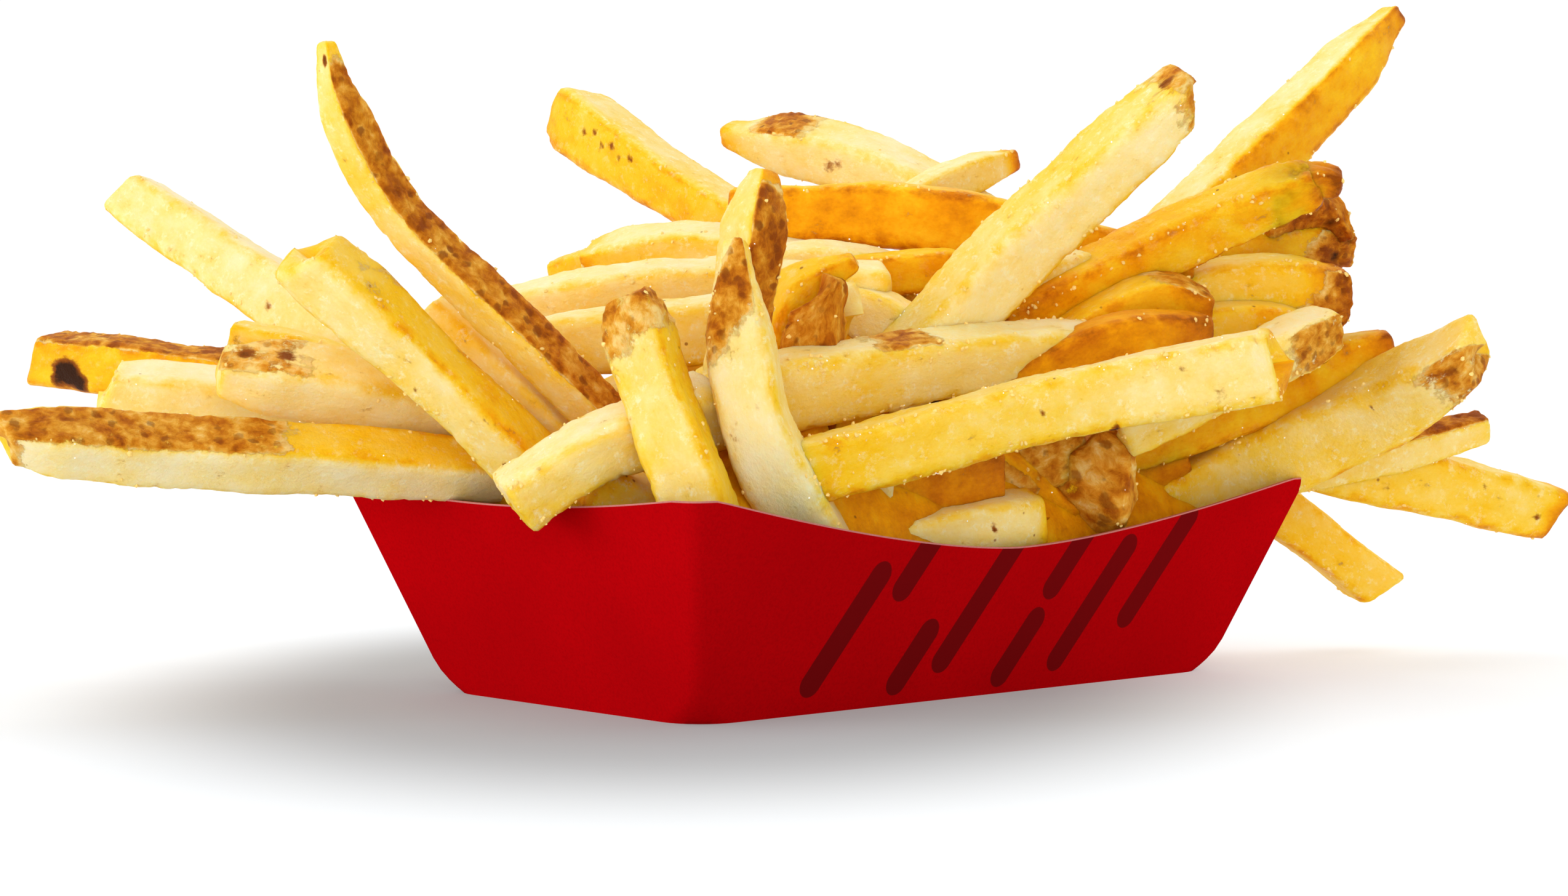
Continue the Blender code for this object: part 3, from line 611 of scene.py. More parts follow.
goldenFries = {
    "stub": dict(size=6.5, roll=10, tip=0.9, route=[(-95, 2, 53), (-76, 0, 48), (-52, -3, 40)],
                 tone=(0.4, 0.34, 0.5, 0.4), marks=[("front", 2, 0.2, 1.2, 0.4)]),
    "backLeftTop": dict(size=9.6, roll=25, tip=0.8, route=[(-47, 62, 94), (-31, 45, 82), (-4, 20, 64)],
                        tone=(0.5, 0.28, 0.56, 0.4), tipTone=0.1, rough=0.1, taper=5,
                        marks=[("front", 12 + 2.6 * k, 0.1 + 0.3 * (k % 2), 0.8, 0.55) for k in range(6)]),
    "goldBar": dict(size=10.0, roll=5, tip=0.9, route=[(-17, 22, 74), (14, 12, 72), (56, 4, 62)],
                    tone=(0.66, 0.54, 0.7, 0.7), rough=0.3),
    "farTall": dict(size=9.6, roll=25, tip=0.45, taper=16, rounding=1.6, route=[(95, 42, 109), (82, 34, 95), (65, 26, 79), (38, 14, 54)],
                    tone=(0.63, 0.22, 0.5, 0.4), tipTone=0.2, rough=0.1),
    "goldDiagonal": dict(size=8.8, roll=30, tip=0.8, rounding=2.0, torn=7, route=[(72, -8, 77), (55, -3, 70), (32, -5, 58), (14, -12, 48)],
                         tone=(0.46, 0.4, 0.7, 0.6), paintedFootShade=0.34, tipTone=0.22, tipReach=14, taper=5, rough=0.8),
    "knob": dict(size=6.2, roll=35, tip=0.6, rounding=2.6, torn=7, route=[(76, -7, 76.5), (71.5, -7, 76.8), (64, -6, 73)],
                 tone=(0.7, 0.66, 0.8, 0.7), tipTone=0.2, rough=0.8),
    "flake": dict(size=5.2, roll=50, tip=0.4, broad=1.5, torn=6, rounding=1.4,
                  route=[(83, 20, 69.5), (79, 19, 73.5), (73, 17, 74), (66, 14, 70)],
                  tone=(0.72, 0.76, 0.8, 0.7), skin=[("all", -2, 20, 1.05)], marks=[("front", 5, 0.2, 1.5, 0.7)]),
    "flakyEnd": dict(size=8.6, roll=15, tip=0.9, torn=8, route=[(83, 26, 69), (62, 15, 66), (34, 4, 54)],
                     tone=(0.56, 0.5, 0.7, 0.6), tipTone=0.4, tipReach=12, skin=[("front", -3, 10, 1.1, 4), ("lower", 0, 14, 1.1)],
                     marks=[("front", 5, -0.3, 1.4, 0.8), ("front", 2, 0.4, 1.0, 0.7)]),
    "brownEnd": dict(size=9.8, roll=10, tip=0.8, route=[(80, 12, 60), (58, 5, 60), (30, -2, 48)],
                     tone=(0.44, 0.36, 0.56, 0.5), tipTone=0.5, tipReach=12, torn=5, skin=[("front", -3, 7, 1.1, 3), ("lower", -3, 16, 1.1)]),
    "between": dict(size=9.0, roll=12, tip=0.8, route=[(76, 6, 53), (58, 0, 54), (34, -6, 47)],
                    tone=(0.5, 0.4, 0.6, 0.5), tipTone=0.3),
    "curlBrown": dict(size=7.6, roll=20, tip=0.7, route=[(56, -6, 57), (46, -8, 58), (28, -12, 48)],
                      tone=(0.64, 0.5, 0.7, 0.6), tipTone=0.2, skin=[("upper", 0, 9, 0.8)]),
    "stubGold": dict(size=7.6, roll=10, tip=0.9, route=[(54, -14, 53), (40, -20, 52), (22, -22, 44)],
                     tone=(0.76, 0.7, 0.8, 0.8), tipTone=0.15),
    "orange": dict(size=8.6, roll=10, tip=0.7, route=[(89, 16, 52), (68, 14, 44), (40, 6, 33)],
                   tone=(0.62, 0.54, 0.7, 0.6), tipTone=0.15),
    "farRight": dict(size=10.4, roll=8, tip=0.9, route=[(122, 44, 24), (97, 35, 30), (62, 27, 38)],
                     tone=(0.42, 0.34, 0.5, 0.4), tipTone=0.34, tipReach=6, rough=0.1, slant=(0, -1.5),
                     marks=[("front", 5, -0.2, 0.9, 0.5), ("front", 17, 0.4, 0.7, 0.5), ("front", 34, -0.3, 0.8, 0.4)]),
    "backPairB": dict(size=6.0, roll=10, tip=0.9, route=[(-47, 38, 64), (-30, 26, 67), (-6, 14, 62)],
                      tone=(0.54, 0.46, 0.6, 0.6)),
    "goldBack": dict(size=7.0, roll=10, tip=0.9, route=[(18, 2, 64), (2, -2, 62), (-14, -8, 56)],
                     tone=(0.62, 0.5, 0.7, 0.6)),
    "rimShort": dict(size=8.4, roll=15, tip=0.9, route=[(29, -17, 26), (16, -26, 25), (-4, -38, 20)],
                     tone=(0.22, 0.2, 0.4, 0.4), tipTone=0.4, tipReach=4, slant=(1.5, 1), marks=[("front", 12, 0.1, 0.6, 0.8)]),
    # innerRight and innerLeft: tones near brown, painted shade for fries low in the gaps
    "innerRight": dict(size=8.6, roll=10, tip=1.0, route=[(54, 12, 33), (42, 6, 28), (28, 0, 22)],
                       tone=(0.8, 0.76, 0.86, 0.8)),
    "innerLeft": dict(size=8.0, roll=10, tip=1.0, route=[(22, -20, 33), (4, -30, 30), (-14, -42, 26)],
                      tone=(0.78, 0.74, 0.84, 0.8)),
    "innerEnd": dict(size=8.0, roll=10, tip=1.0, route=[(-36, -50, 33), (-26, -44, 28), (-10, -34, 22)], tone=(0.4, 0.36, 0.5, 0.5)),
}
skinFries = {
    "leftMid": dict(size=9.0, roll=12, tip=1.0, route=[(-125, 6, 50), (-106, -2, 48), (-70, -6, 42), (-50, -6, 38)],
                    tone=(0.56, 0.5, 0.6, 0.4), slant=(0, 1.5), rough=0.1, skin=[("upper", -2, 40, 0.95)],
                    marks=[("front", 8, -0.25, 2.6, 1.3), ("front", 10.4, -0.6, 1.9, 1.1),
                                                                            ("front", 6.2, -0.55, 1.5, 0.9)]),
    "skinEnd": dict(size=8.4, roll=38, tip=0.7, route=[(-89, -38, 48), (-70, -32, 45), (-42, -18, 37)],
                    tone=(0.18, 0.3, 0.4, 0.4), skin=[("upper", -1, 12, 0.62)],
                    marks=[("upper", 3.5, -0.1, 1.5, 0.62), ("upper", 9, 0.1, 1.6, 0.62)]),
    "leftHero": dict(size=8.0, roll=42, tip=0.7, route=[(-115, -55, 39), (-98, -46, 37), (-68, -36, 35), (-28, -18, 31)],
                     tone=(0.15, 0.48, 0.4, 0.4), rounding=1.3, slant=(0.8, -0.8), skin=[("upper", -4, 38, 0.85), ("front", -4, 3, 0.7)], rough=0.4),
    "curl": dict(size=6.2, roll=42, tip=0.35, taper=12, rounding=1.5, route=[(-72, -48, 93), (-70, -46, 84), (-62, -42, 69), (-44, -38, 51), (-27, -30, 33)],
                 tone=(0.32, 0.5, 0.5, 0.4), skin=[("upper", 3, 92, 0.95)], marks=[("front", 2.5, 0.4, 1.0, 0.8)]),
    "skinCap": dict(size=8.6, roll=15, tip=0.75, rounding=1.6, torn=7, route=[(-30, -55, 58), (-27, -57, 47), (-21, -60, 31), (-18, -54, 18)],
                    tone=(0.3, 0.54, 0.44, 0.4), skin=[("all", -4, 7, 0.76, 2)], taper=5, rough=0.7),
    "tallBehind": dict(size=6.9, roll=48, tip=0.5, rounding=2.6, route=[(-12, -40, 76), (-14, -42, 64), (-18, -40, 36)],
                       tone=(0.24, 0.62, 0.4, 0.4), skin=[("upper", 3, 22, 1.1)]),
    "thinSkin": dict(size=5.4, roll=30, tip=0.9, route=[(108, 31, 39), (89, 28, 34), (60, 26, 28)],
                     tone=(0.3, 0.6, 0.4, 0.4), skin=[("upper", -1, 24, 1.1)]),
    "rightHero": dict(size=11.6, roll=15, tip=0.8, taper=14, route=[(97, -6, 51.4), (86, 10, 42.8), (65, 17, 32.4), (41, 7, 20.5)],
                      tone=(0.22, 0.26, 0.4, 0.4), skin=[("front", -1, 7, 0.8), ("lower", -1, 10, 0.95)], slant=(0, -2),
                      paintedFootShade=0.24, marks=[("front", 2.5, 0.3, 1.2, 0.5), ("front", 20, 0.5, 0.4, 0.6)]),
    "brownTip": dict(size=8.6, roll=30, tip=0.28, taper=13, rounding=1.2, route=[(1, -30, 64), (-7, -27, 58), (-10, -22, 44)],
                     tone=(0.6, 0.5, 0.78, 0.7), rough=0.9, skin=[("lower", 0, 14, 0.8)]),
    "skinChunk": dict(size=8.4, roll=10, tip=0.8, torn=6, slant=(0, -3), route=[(-4, -32, 59), (-5, -31, 52), (-6, -28, 42)],
                      tone=(0.74, 0.7, 0.8, 0.8), skin=[("all", -2, 14, 0.9)]),
    "skinFace": dict(size=8.0, roll=-10, tip=0.42, taper=11, broad=1.7, rounding=1.0, torn=9,
                     route=[(41.5, -14, 38.5), (38, -10, 31), (35, -1, 22)],
                     tone=(0.62, 0.56, 0.7, 0.7), skin=[("all", -2, 30, 0.82)]),
    # tones near brown: painted shade for a fry low in the gaps
    "innerSkin": dict(size=7.6, roll=10, tip=1.0, route=[(36, -8, 36), (22, -14, 32), (6, -20, 28)],
                      tone=(0.8, 0.8, 0.8, 0.8), skin=[("all", 0, 40, 0.8)]),
}
front = fromFan((0, -1, 0)).normalized()
paleHeap = sweepSticks("pale_fries", completed(paleFries), 1, front, stickLook)
goldenHeap = sweepSticks("golden_fries", completed(goldenFries), 31, front, stickLook)
skinHeap = sweepSticks("skin_on_fries", completed(skinFries), 61, front, stickLook)
print("fries that fan out to the front made")


# fries that lean out over the two far rims, and a layer over the top
farFries = {"count": 15, "firstTurn": 132, "arc": 140, "turnPlay": 8, "footX": 34, "footY": 12,
            "footHeight": (26, 38), "reach": (40, 58), "rise": (2, 20), "bow": (-2, 3),
            "size": (0.8, 1.08), "roll": (0, 45), "seed": 7, "cut": 9}
topFries = {"count": 16, "turn": 137.5, "spreadX": 38, "spreadY": 18, "middle": (4, 8), "crown": 53,
            "fall": 17, "heightPlay": (-1, 2), "halfLength": (24, 34), "flatten": 0.8, "dip": (3, 9),
            "size": (0.8, 1.05), "roll": (0, 45), "seed": 11, "cut": 9}


def farSticks(look):
    rng = random.Random(look["seed"])
    looks = random.Random(look["seed"] + 1)
    sticks = []
    for index in range(look["count"]):
        share = (index + 0.5) / look["count"]
        play = rng.uniform(-look["turnPlay"], look["turnPlay"])
        turn = math.radians(look["firstTurn"] - look["arc"] * share + play)
        out = Vector((math.cos(turn), math.sin(turn), 0))
        foot = Vector((out.x * look["footX"], out.y * look["footY"], rng.uniform(*look["footHeight"]))) * mm
        reach = rng.uniform(*look["reach"]) * mm
        tip = foot + out * reach + upwards * rng.uniform(*look["rise"]) * mm
        middle = foot.lerp(tip, 0.5) + upwards * rng.uniform(*look["bow"]) * mm
        size = look["cut"] * rng.uniform(*look["size"])
        roll = rng.uniform(*look["roll"])
        sticks.append(randomLook(looks, [tip, middle, foot], size, roll, rng.choice((0.7, 0.9, 1.0))))
    return sticks


def topSticks(look):
    rng = random.Random(look["seed"])
    looks = random.Random(look["seed"] + 1)
    sticks = []
    for index in range(look["count"]):
        turn = math.radians(look["turn"]) * index
        spread = math.sqrt((index + 0.5) / look["count"])
        x = spread * math.cos(turn) * look["spreadX"] + look["middle"][0]
        y = spread * math.sin(turn) * look["spreadY"] + look["middle"][1]
        height = look["crown"] - look["fall"] * spread ** 2 + rng.uniform(*look["heightPlay"])
        middle = Vector((x, y, height)) * mm
        heading = rng.uniform(0, math.pi)
        half = rng.uniform(*look["halfLength"]) * mm
        along = Vector((math.cos(heading), math.sin(heading) * look["flatten"], 0)) * half
        dip = upwards * rng.uniform(*look["dip"]) * mm
        size = look["cut"] * rng.uniform(*look["size"])
        roll = rng.uniform(*look["roll"])
        sticks.append(randomLook(looks, [middle + along - dip, middle, middle - along - dip], size, roll, 0.9))
    return sticks


def randomLook(rng, route, size, roll, tip):
    # a stick nobody placed by hand: its tones, skin and spots are dealt
    base = rng.choice((0.16, 0.22, 0.3, 0.42, 0.58))
    tone = tuple(base + rng.uniform(-0.06, 0.16) for _ in range(4))
    skin = []
    if rng.random() < 0.4:
        start = rng.uniform(-2, 20)
        skin = [(rng.choice(("front", "upper", "lower")), start, start + rng.uniform(8, 34), rng.uniform(0.8, 1.1))]
    marks = [(rng.choice(("front", "upper")), rng.uniform(3, 40), rng.uniform(-0.5, 0.5), rng.uniform(0.4, 1.2), 0.8)
             for _ in range(rng.randint(0, 3))]
    return dict(plainStick, route=route, size=size, roll=roll, tip=tip, tone=tone, skin=skin, marks=marks,
                tipTone=rng.uniform(0, 0.3), slant=(rng.uniform(-1.5, 1.5), rng.uniform(-1.5, 1.5)), rough=0.4)


coreLook = {"top": 50, "shoulder": 17, "levels": [1.2, 6, 12, 17, 22, 27, 31, 35, 39, 43, 46, 48.5, 49.8],
            "inset": 2.5, "domeX": 58, "domeY": 34}

# short fries that fill the gaps just over the core; their deep tones are painted shade for the gaps
fillerFries = {"count": 60, "turn": 137.5, "spreadX": 47, "spreadY": 26, "lift": (-2.5, 2.5), "halfLength": (11, 18),
               "limitX": 52, "limitY": 28, "size": (0.7, 1.0), "roll": (0, 45), "seed": 21, "cut": 9, "tones": (0.64, 0.74, 0.82, 0.9)}


def domeHeight(look, x, y):
    # how high the core stands at one place
    away = min(math.hypot(x / look["domeX"], y / look["domeY"]), 1.0)
    return look["shoulder"] + (look["top"] - look["shoulder"]) * (1 - away ** 1.7) ** 0.6


def fillerSticks(look, dome):
    rng = random.Random(look["seed"])
    sticks = []
    for index in range(look["count"]):
        turn = math.radians(look["turn"]) * index
        spread = math.sqrt((index + 0.5) / look["count"])
        x = spread * math.cos(turn) * look["spreadX"]
        y = spread * math.sin(turn) * look["spreadY"]
        heading = rng.uniform(0, math.pi)
        half = rng.uniform(*look["halfLength"])
        reach = (math.cos(heading) * half, math.sin(heading) * half * 0.7)
        lift = rng.uniform(*look["lift"])
        route = []
        for end in (1, 0, -1):
            ex = max(-look["limitX"], min(look["limitX"], x + end * reach[0]))
            ey = max(-look["limitY"], min(look["limitY"], y + end * reach[1]))
            route.append(Vector((ex, ey, domeHeight(dome, ex, ey) + lift - 2.5 * abs(end))) * mm)
        stick = randomLook(rng, route, look["cut"] * rng.uniform(*look["size"]), rng.uniform(*look["roll"]), 0.9)
        # a deep base tone: painted shade for a fry down in the gaps
        base = rng.choice(look["tones"])
        stick["tone"] = tuple(base + rng.uniform(-0.06, 0.08) for _ in range(4))
        sticks.append(stick)
    return sticks


# short fries that lie along the walls on the far side
rimFries = {"corners": [(-52, -2), (-52, 30), (52, 30), (52, -2)], "gap": 8, "halfLength": (10, 16),
            "turnPlay": 24, "height": (26, 31), "dip": 1.5, "limitX": 55, "limitY": 31.5,
            "size": (0.75, 0.95), "roll": (0, 45), "seed": 33, "cut": 9}


def rimSticks(look):
    rng = random.Random(look["seed"])
    sticks = []
    for low, high in zip(look["corners"], look["corners"][1:]):
        low, high = Vector(low), Vector(high)
        steps = int((high - low).length / look["gap"])
        for k in range(steps):
            middle = low.lerp(high, (k + 0.5) / steps)
            heading = math.atan2(high.y - low.y, high.x - low.x)
            heading += math.radians(rng.uniform(-look["turnPlay"], look["turnPlay"]))
            half = rng.uniform(*look["halfLength"])
            height = rng.uniform(*look["height"])
            route = []
            for end in (1, 0, -1):
                x = middle.x + end * half * math.cos(heading)
                y = middle.y + end * half * math.sin(heading)
                x = max(-look["limitX"], min(look["limitX"], x))
                y = min(look["limitY"], y)
                route.append(Vector((x, y, height - look["dip"] * abs(end))) * mm)
            size = look["cut"] * rng.uniform(*look["size"])
            sticks.append(randomLook(rng, route, size, rng.uniform(*look["roll"]), 0.9))
    return sticks


farHeap = sweepSticks("far_side_fries", farSticks(farFries), 101, upwards, stickLook, sides=28)
topHeap = sweepSticks("top_fries", topSticks(topFries), 131, upwards, stickLook, sides=28)
fillers = fillerSticks(fillerFries, coreLook) + rimSticks(rimFries)
fillerHeap = sweepSticks("filler_fries", fillers, 161, upwards, stickLook, sides=20)
print("fries on the far side and the top made")


tray = {"baseLength": 109, "baseWidth": 58, "height": 31, "endFlare": 10.4, "sideFlare": 11.8, "board": 0.6,
        "crease": 2.0, "foot": 7.0, "footHeight": 5.0, "sideDip": 8.6, "sideShoulder": 60.5, "rimCurve": 1.6,
        "endDip": 1.8, "endShoulder": 36, "sideSteps": 60, "endSteps": 30, "cornerSteps": 8, "fuzz": 0.22}


def trayOutline(look, height, grow=0.0):
    # points round the wall at one height, in mm, from the +X -Y corner
    lean = height / look["height"]
    halfX = look["baseLength"] / 2 + look["endFlare"] * lean + grow
    halfY = look["baseWidth"] / 2 + look["sideFlare"] * lean + grow
    rise = min(height / look["footHeight"], 1.0)
    radius = max(look["crease"] + (look["foot"] - look["crease"]) * (1 - rise) ** 2 + grow, 0.3)
    arcs = []
    for index, (sx, sy) in enumerate([(1, -1), (1, 1), (-1, 1), (-1, -1)]):
        middle = Vector((sx * (halfX - radius), sy * (halfY - radius)))
        turns = [math.radians(90 * (index - 1 + k / look["cornerSteps"])) for k in range(look["cornerSteps"] + 1)]
        arcs.append([middle + radius * Vector((math.cos(turn), math.sin(turn))) for turn in turns])
    points = []
    for index, arc in enumerate(arcs):
        points += arc
        following = arcs[(index + 1) % 4][0]
        count = look["endSteps"] if index % 2 == 0 else look["sideSteps"]
        points += [arc[-1].lerp(following, k / count) for k in range(1, count)]
    return points


def loftFaces(rows, count, flip=False):
    faces = []
    for row in range(rows - 1):
        for k in range(count):
            n = (k + 1) % count
            low, high = row * count, (row + 1) * count
            face = (low + k, low + n, high + n, high + k)
            faces.append(face[::-1] if flip else face)
    return faces


def makeCore(look, trayLook, material):
    rings = []
    for z in look["levels"]:
        rise = max(z - look["shoulder"], 0) / (look["top"] - look["shoulder"])
        share = (1 - rise ** 1.7) ** 0.6
        ring = trayOutline(trayLook, min(z, 22), -trayLook["board"] - look["inset"])
        rings.append([(p.x * share * mm, p.y * share * mm, z * mm) for p in ring])
    count = len(rings[0])
    verts = [p for ring in rings for p in ring]
    faces = loftFaces(len(rings), count)
    faces.append(tuple(reversed(range(count))))
    faces.append(tuple(range((len(rings) - 1) * count, len(rings) * count)))
    core = meshObject("heap_core", verts, (), faces, material)
    core.data.shade_smooth()
    rng = np.random.default_rng(3)
    total = len(core.data.vertices)
    places = np.array(verts) / mm
    setField(core.data, "grain", places, "FLOAT_VECTOR")
    setField(core.data, "tone", 0.72 + rng.uniform(-0.05, 0.05, total))
    for key in ("skin", "mark", "edge"):
        setField(core.data, key, np.zeros(total))
    return core


core = makeCore(coreLook, tray, friedPotato)
print("core made")


# salt and crumbs, scattered over the fries by their edges and roughness
def buildScatterTree():
    tree, entry = geometryTree("scatteredBits", {
        "Density": ("Float", 8000.0), "On edges": ("Float", 1.0), "Smallest": ("Float", 0.0002),
        "Largest": ("Float", 0.0004), "Flatness": ("Float", 0.7), "Ruggedness": ("Float", 0.3),
        "Rings": ("Int", 3), "Seed": ("Int", 1), "Material": ("Material", None)})
    edge = readField(tree, "edge")
    weight = calc(tree, "MULTIPLY_ADD", calc(tree, "SUBTRACT", edge, 0.15), entry["On edges"], 0.15)
    spots = noiseAt(tree, readField(tree, "grain", "FLOAT_VECTOR"), 0.14, 2)
    weight = calc(tree, "MULTIPLY", weight, remap(tree, spots, 0.42, 0.66, 0.1, 1.6))
    weight = calc(tree, "MULTIPLY", weight, calc(tree, "ADD", readField(tree, "rough"), 0.15))
    scatter = addNode(tree, "GeometryNodeDistributePointsOnFaces", {
        "Mesh": entry["Geometry"], "Density": calc(tree, "MULTIPLY", weight, entry["Density"]), "Seed": entry["Seed"]})
    bit = addNode(tree, "GeometryNodeMeshIcoSphere", {"Radius": 0.5, "Subdivisions": entry["Rings"]}).outputs[0]
    place = addNode(tree, "GeometryNodeInputPosition").outputs[0]
    lumps = calc(tree, "MULTIPLY", calc(tree, "SUBTRACT", noiseAt(tree, place, 2.2, 2, 0.6), 0.5), entry["Ruggedness"])
    bit = addNode(tree, "GeometryNodeSetPosition", {"Geometry": bit, "Offset": vectorCalc(
        tree, "SCALE", addNode(tree, "GeometryNodeInputNormal").outputs[0], lumps)}).outputs[0]
    turn = addNode(tree, "FunctionNodeRandomValue", {"Min": (0.0, 0.0, 0.0), "Max": (6.28, 6.28, 6.28),
                                                     "Seed": entry["Seed"]}, data_type="FLOAT_VECTOR").outputs[0]
    long = addNode(tree, "FunctionNodeRandomValue", {"Min": entry["Smallest"], "Max": entry["Largest"], "Seed": 4},
                   data_type="FLOAT").outputs["Value"]
    size = addNode(tree, "ShaderNodeCombineXYZ", {0: long, 1: calc(tree, "MULTIPLY", long, 0.8),
                                                  2: calc(tree, "MULTIPLY", long, entry["Flatness"])}).outputs[0]
    many = addNode(tree, "GeometryNodeInstanceOnPoints", {"Points": scatter.outputs["Points"], "Instance": bit,
                                                          "Rotation": turn, "Scale": size}).outputs[0]
    closeTree(tree, many, entry["Material"])
    return tree


scatterTree = buildScatterTree()
scatterLook = {
    "salt_grains": {"Density": 70000.0, "On edges": 0.8, "Smallest": 0.00018, "Largest": 0.0004, "Flatness": 0.8,
                    "Ruggedness": 0.5, "Rings": 1, "Seed": 5},
    "fried_crumbs": {"Density": 300000.0, "On edges": 0.95, "Smallest": 0.0004, "Largest": 0.001, "Flatness": 0.6,
                     "Ruggedness": 0.7, "Rings": 1, "Seed": 9},
}


def plainMaterial(name, colour, roughness, glow):
    material, tree, shader = newMaterial(name)
    place = addNode(tree, "ShaderNodeTexCoord").outputs["Object"]
    tint = mixColour(tree, remap(tree, noiseAt(tree, place, 260, 2), 0.4, 0.6), colour, tuple(c * 0.93 for c in colour))
    tree.links.new(tint, shader.inputs["Base Color"])
    shader.inputs["Roughness"].default_value = roughness
    # the glow is painted light: the bits light themselves a little
    shader.inputs["Emission Color"].default_value = (*fromScreen(colour), 1)
    shader.inputs["Emission Strength"].default_value = glow
    return material


def scatterBits(name, hosts, values, material):
    # the bits grow from a copy of every fry's surface, which they then replace
    joined = bmesh.new()
    for host in hosts:
        joined.from_mesh(host.data)
    mesh = bpy.data.meshes.new(name)
    joined.to_mesh(mesh)
    joined.free()
    obj = bpy.data.objects.new(name, mesh)
    bpy.context.scene.collection.objects.link(obj)
    return runTree(obj, scatterTree, dict(values, Material=material))


# salt and crumbs glow a little: painted light on the tiny bits
saltMaterial = plainMaterial("salt", (255, 252, 240), 0.25, 0.3)
crumbMaterial = plainMaterial("fried_crumb", (252, 216, 122), 0.5, 0.05)
hosts = [paleHeap, goldenHeap, skinHeap, farHeap, topHeap, fillerHeap]
saltGrains = scatterBits("salt_grains", hosts, scatterLook["salt_grains"], saltMaterial)
friedCrumbs = scatterBits("fried_crumbs", hosts, scatterLook["fried_crumbs"], crumbMaterial)
print("salt and crumbs scattered")


boardLook = {"print": (184, 3, 10), "shape": (112, 10, 13), "inside": (130, 12, 10), "edge": (210, 130, 122),
             "bulge": 0.25}


def boardMaterial(name, colour, shapes=None, roughness=0.62):
    material, tree, shader = newMaterial(name)
    place = addNode(tree, "ShaderNodeTexCoord").outputs["Object"]
    wash = noiseAt(tree, place, 34, 2)
    fibre = noiseAt(tree, place, 2600, 3, 0.6)
    darker = tuple(c * 0.95 for c in colour)
    tint = mixColour(tree, remap(tree, wash, 0.38, 0.66), colour, darker)
    grainy = mixColour(tree, remap(tree, fibre, 0.42, 0.72, 0, 0.5), tint, tuple(c * 0.8 for c in colour))
    if shapes:
        grainy = mixColour(tree, barPrint(tree, place), grainy, shapes)
    tree.links.new(grainy, shader.inputs["Base Color"])
    tree.links.new(remap(tree, fibre, 0.3, 0.7, roughness - 0.06, roughness + 0.08), shader.inputs["Roughness"])
    shader.inputs["Specular IOR Level"].default_value = 0.0
    bump = addNode(tree, "ShaderNodeBump", {"Strength": 0.25, "Distance": 0.00005, "Height": fibre})
    tree.links.new(bump.outputs[0], shader.inputs["Normal"])
    return material


# slanted bars with round ends, printed along each long side: x, z and length in mm
printedBars = [(-31, 12, 17), (-20, 21, 8), (-16, 7, 8), (-5, 15, 20), (6, 7, 9), (12, 20, 9), (20, 13, 19), (33, 18, 17)]
barLook = {"radius": 2.0, "slope": 62, "blur": 0.06}


def barPrint(tree, place):
    parts = addNode(tree, "ShaderNodeSeparateXYZ", {0: place})
    side = calc(tree, "MULTIPLY", calc(tree, "SIGN", parts.outputs[1]), -1.0)
    x = calc(tree, "DIVIDE", calc(tree, "MULTIPLY", parts.outputs[0], side), mm)
    z = calc(tree, "DIVIDE", parts.outputs[2], mm)
    nearest = None
    c, s = math.cos(math.radians(barLook["slope"])), math.sin(math.radians(barLook["slope"]))
    for centreX, centreZ, length in printedBars:
        dx = calc(tree, "SUBTRACT", x, float(centreX))
        dz = calc(tree, "SUBTRACT", z, float(centreZ))
        u = calc(tree, "ADD", calc(tree, "MULTIPLY", dx, c), calc(tree, "MULTIPLY", dz, s))
        v = calc(tree, "SUBTRACT", calc(tree, "MULTIPLY", dz, c), calc(tree, "MULTIPLY", dx, s))
        past = calc(tree, "MAXIMUM", calc(tree, "SUBTRACT", calc(tree, "ABSOLUTE", u), length / 2), 0.0)
        away = calc(tree, "SQRT", calc(tree, "ADD", calc(tree, "MULTIPLY", past, past), calc(tree, "MULTIPLY", v, v)))
        nearest = away if nearest is None else calc(tree, "MINIMUM", nearest, away)
    inked = remap(tree, nearest, barLook["radius"] - barLook["blur"], barLook["radius"] + barLook["blur"], 1, 0)
    normal = addNode(tree, "ShaderNodeNewGeometry").outputs["True Normal"]
    facingSide = calc(tree, "ABSOLUTE", addNode(tree, "ShaderNodeSeparateXYZ", {0: normal}).outputs[1])
    return calc(tree, "MULTIPLY", inked, calc(tree, "GREATER_THAN", facingSide, 0.7))


def rimHeight(look, point):
    halfY = look["baseWidth"] / 2 + look["sideFlare"]
    if abs(point.y) > halfY - look["crease"]:
        reach = min(abs(point.x) / look["sideShoulder"], 1.0)
        return look["height"] - look["sideDip"] * (1 - reach ** look["rimCurve"])
    reach = min(abs(point.y) / look["endShoulder"], 1.0)
    return look["height"] - look["endDip"] * (1 - reach ** 2)


def wallRings(look, grow, start, steps):
    # rings from a level up to the cut rim
    top = trayOutline(look, look["height"], grow)
    foot = trayOutline(look, look["footHeight"], grow)
    rings = []
    for z in [0.0, 0.8, 1.8, 3.2]:
        if z >= start:
            rings.append([(p.x, p.y, z) for p in trayOutline(look, z, grow)])
    for k in range(steps + 1):
        ring = []
        for low, high in zip(foot, top):
            height = look["footHeight"] + (rimHeight(look, high) - look["footHeight"]) * k / steps
            share = (height - look["footHeight"]) / (look["height"] - look["footHeight"])
            flat = low.lerp(high, share)
            ring.append((flat.x, flat.y, height))
        if k == steps and look["fuzz"]:
            below = rings[-1]
            rings.append([tuple(b + (t - b) * (1 - look["fuzz"] / (high[2] - low[2])) for b, t in zip(low, high))
                          for low, high in zip(below, ring)])
        rings.append(ring)
    return rings


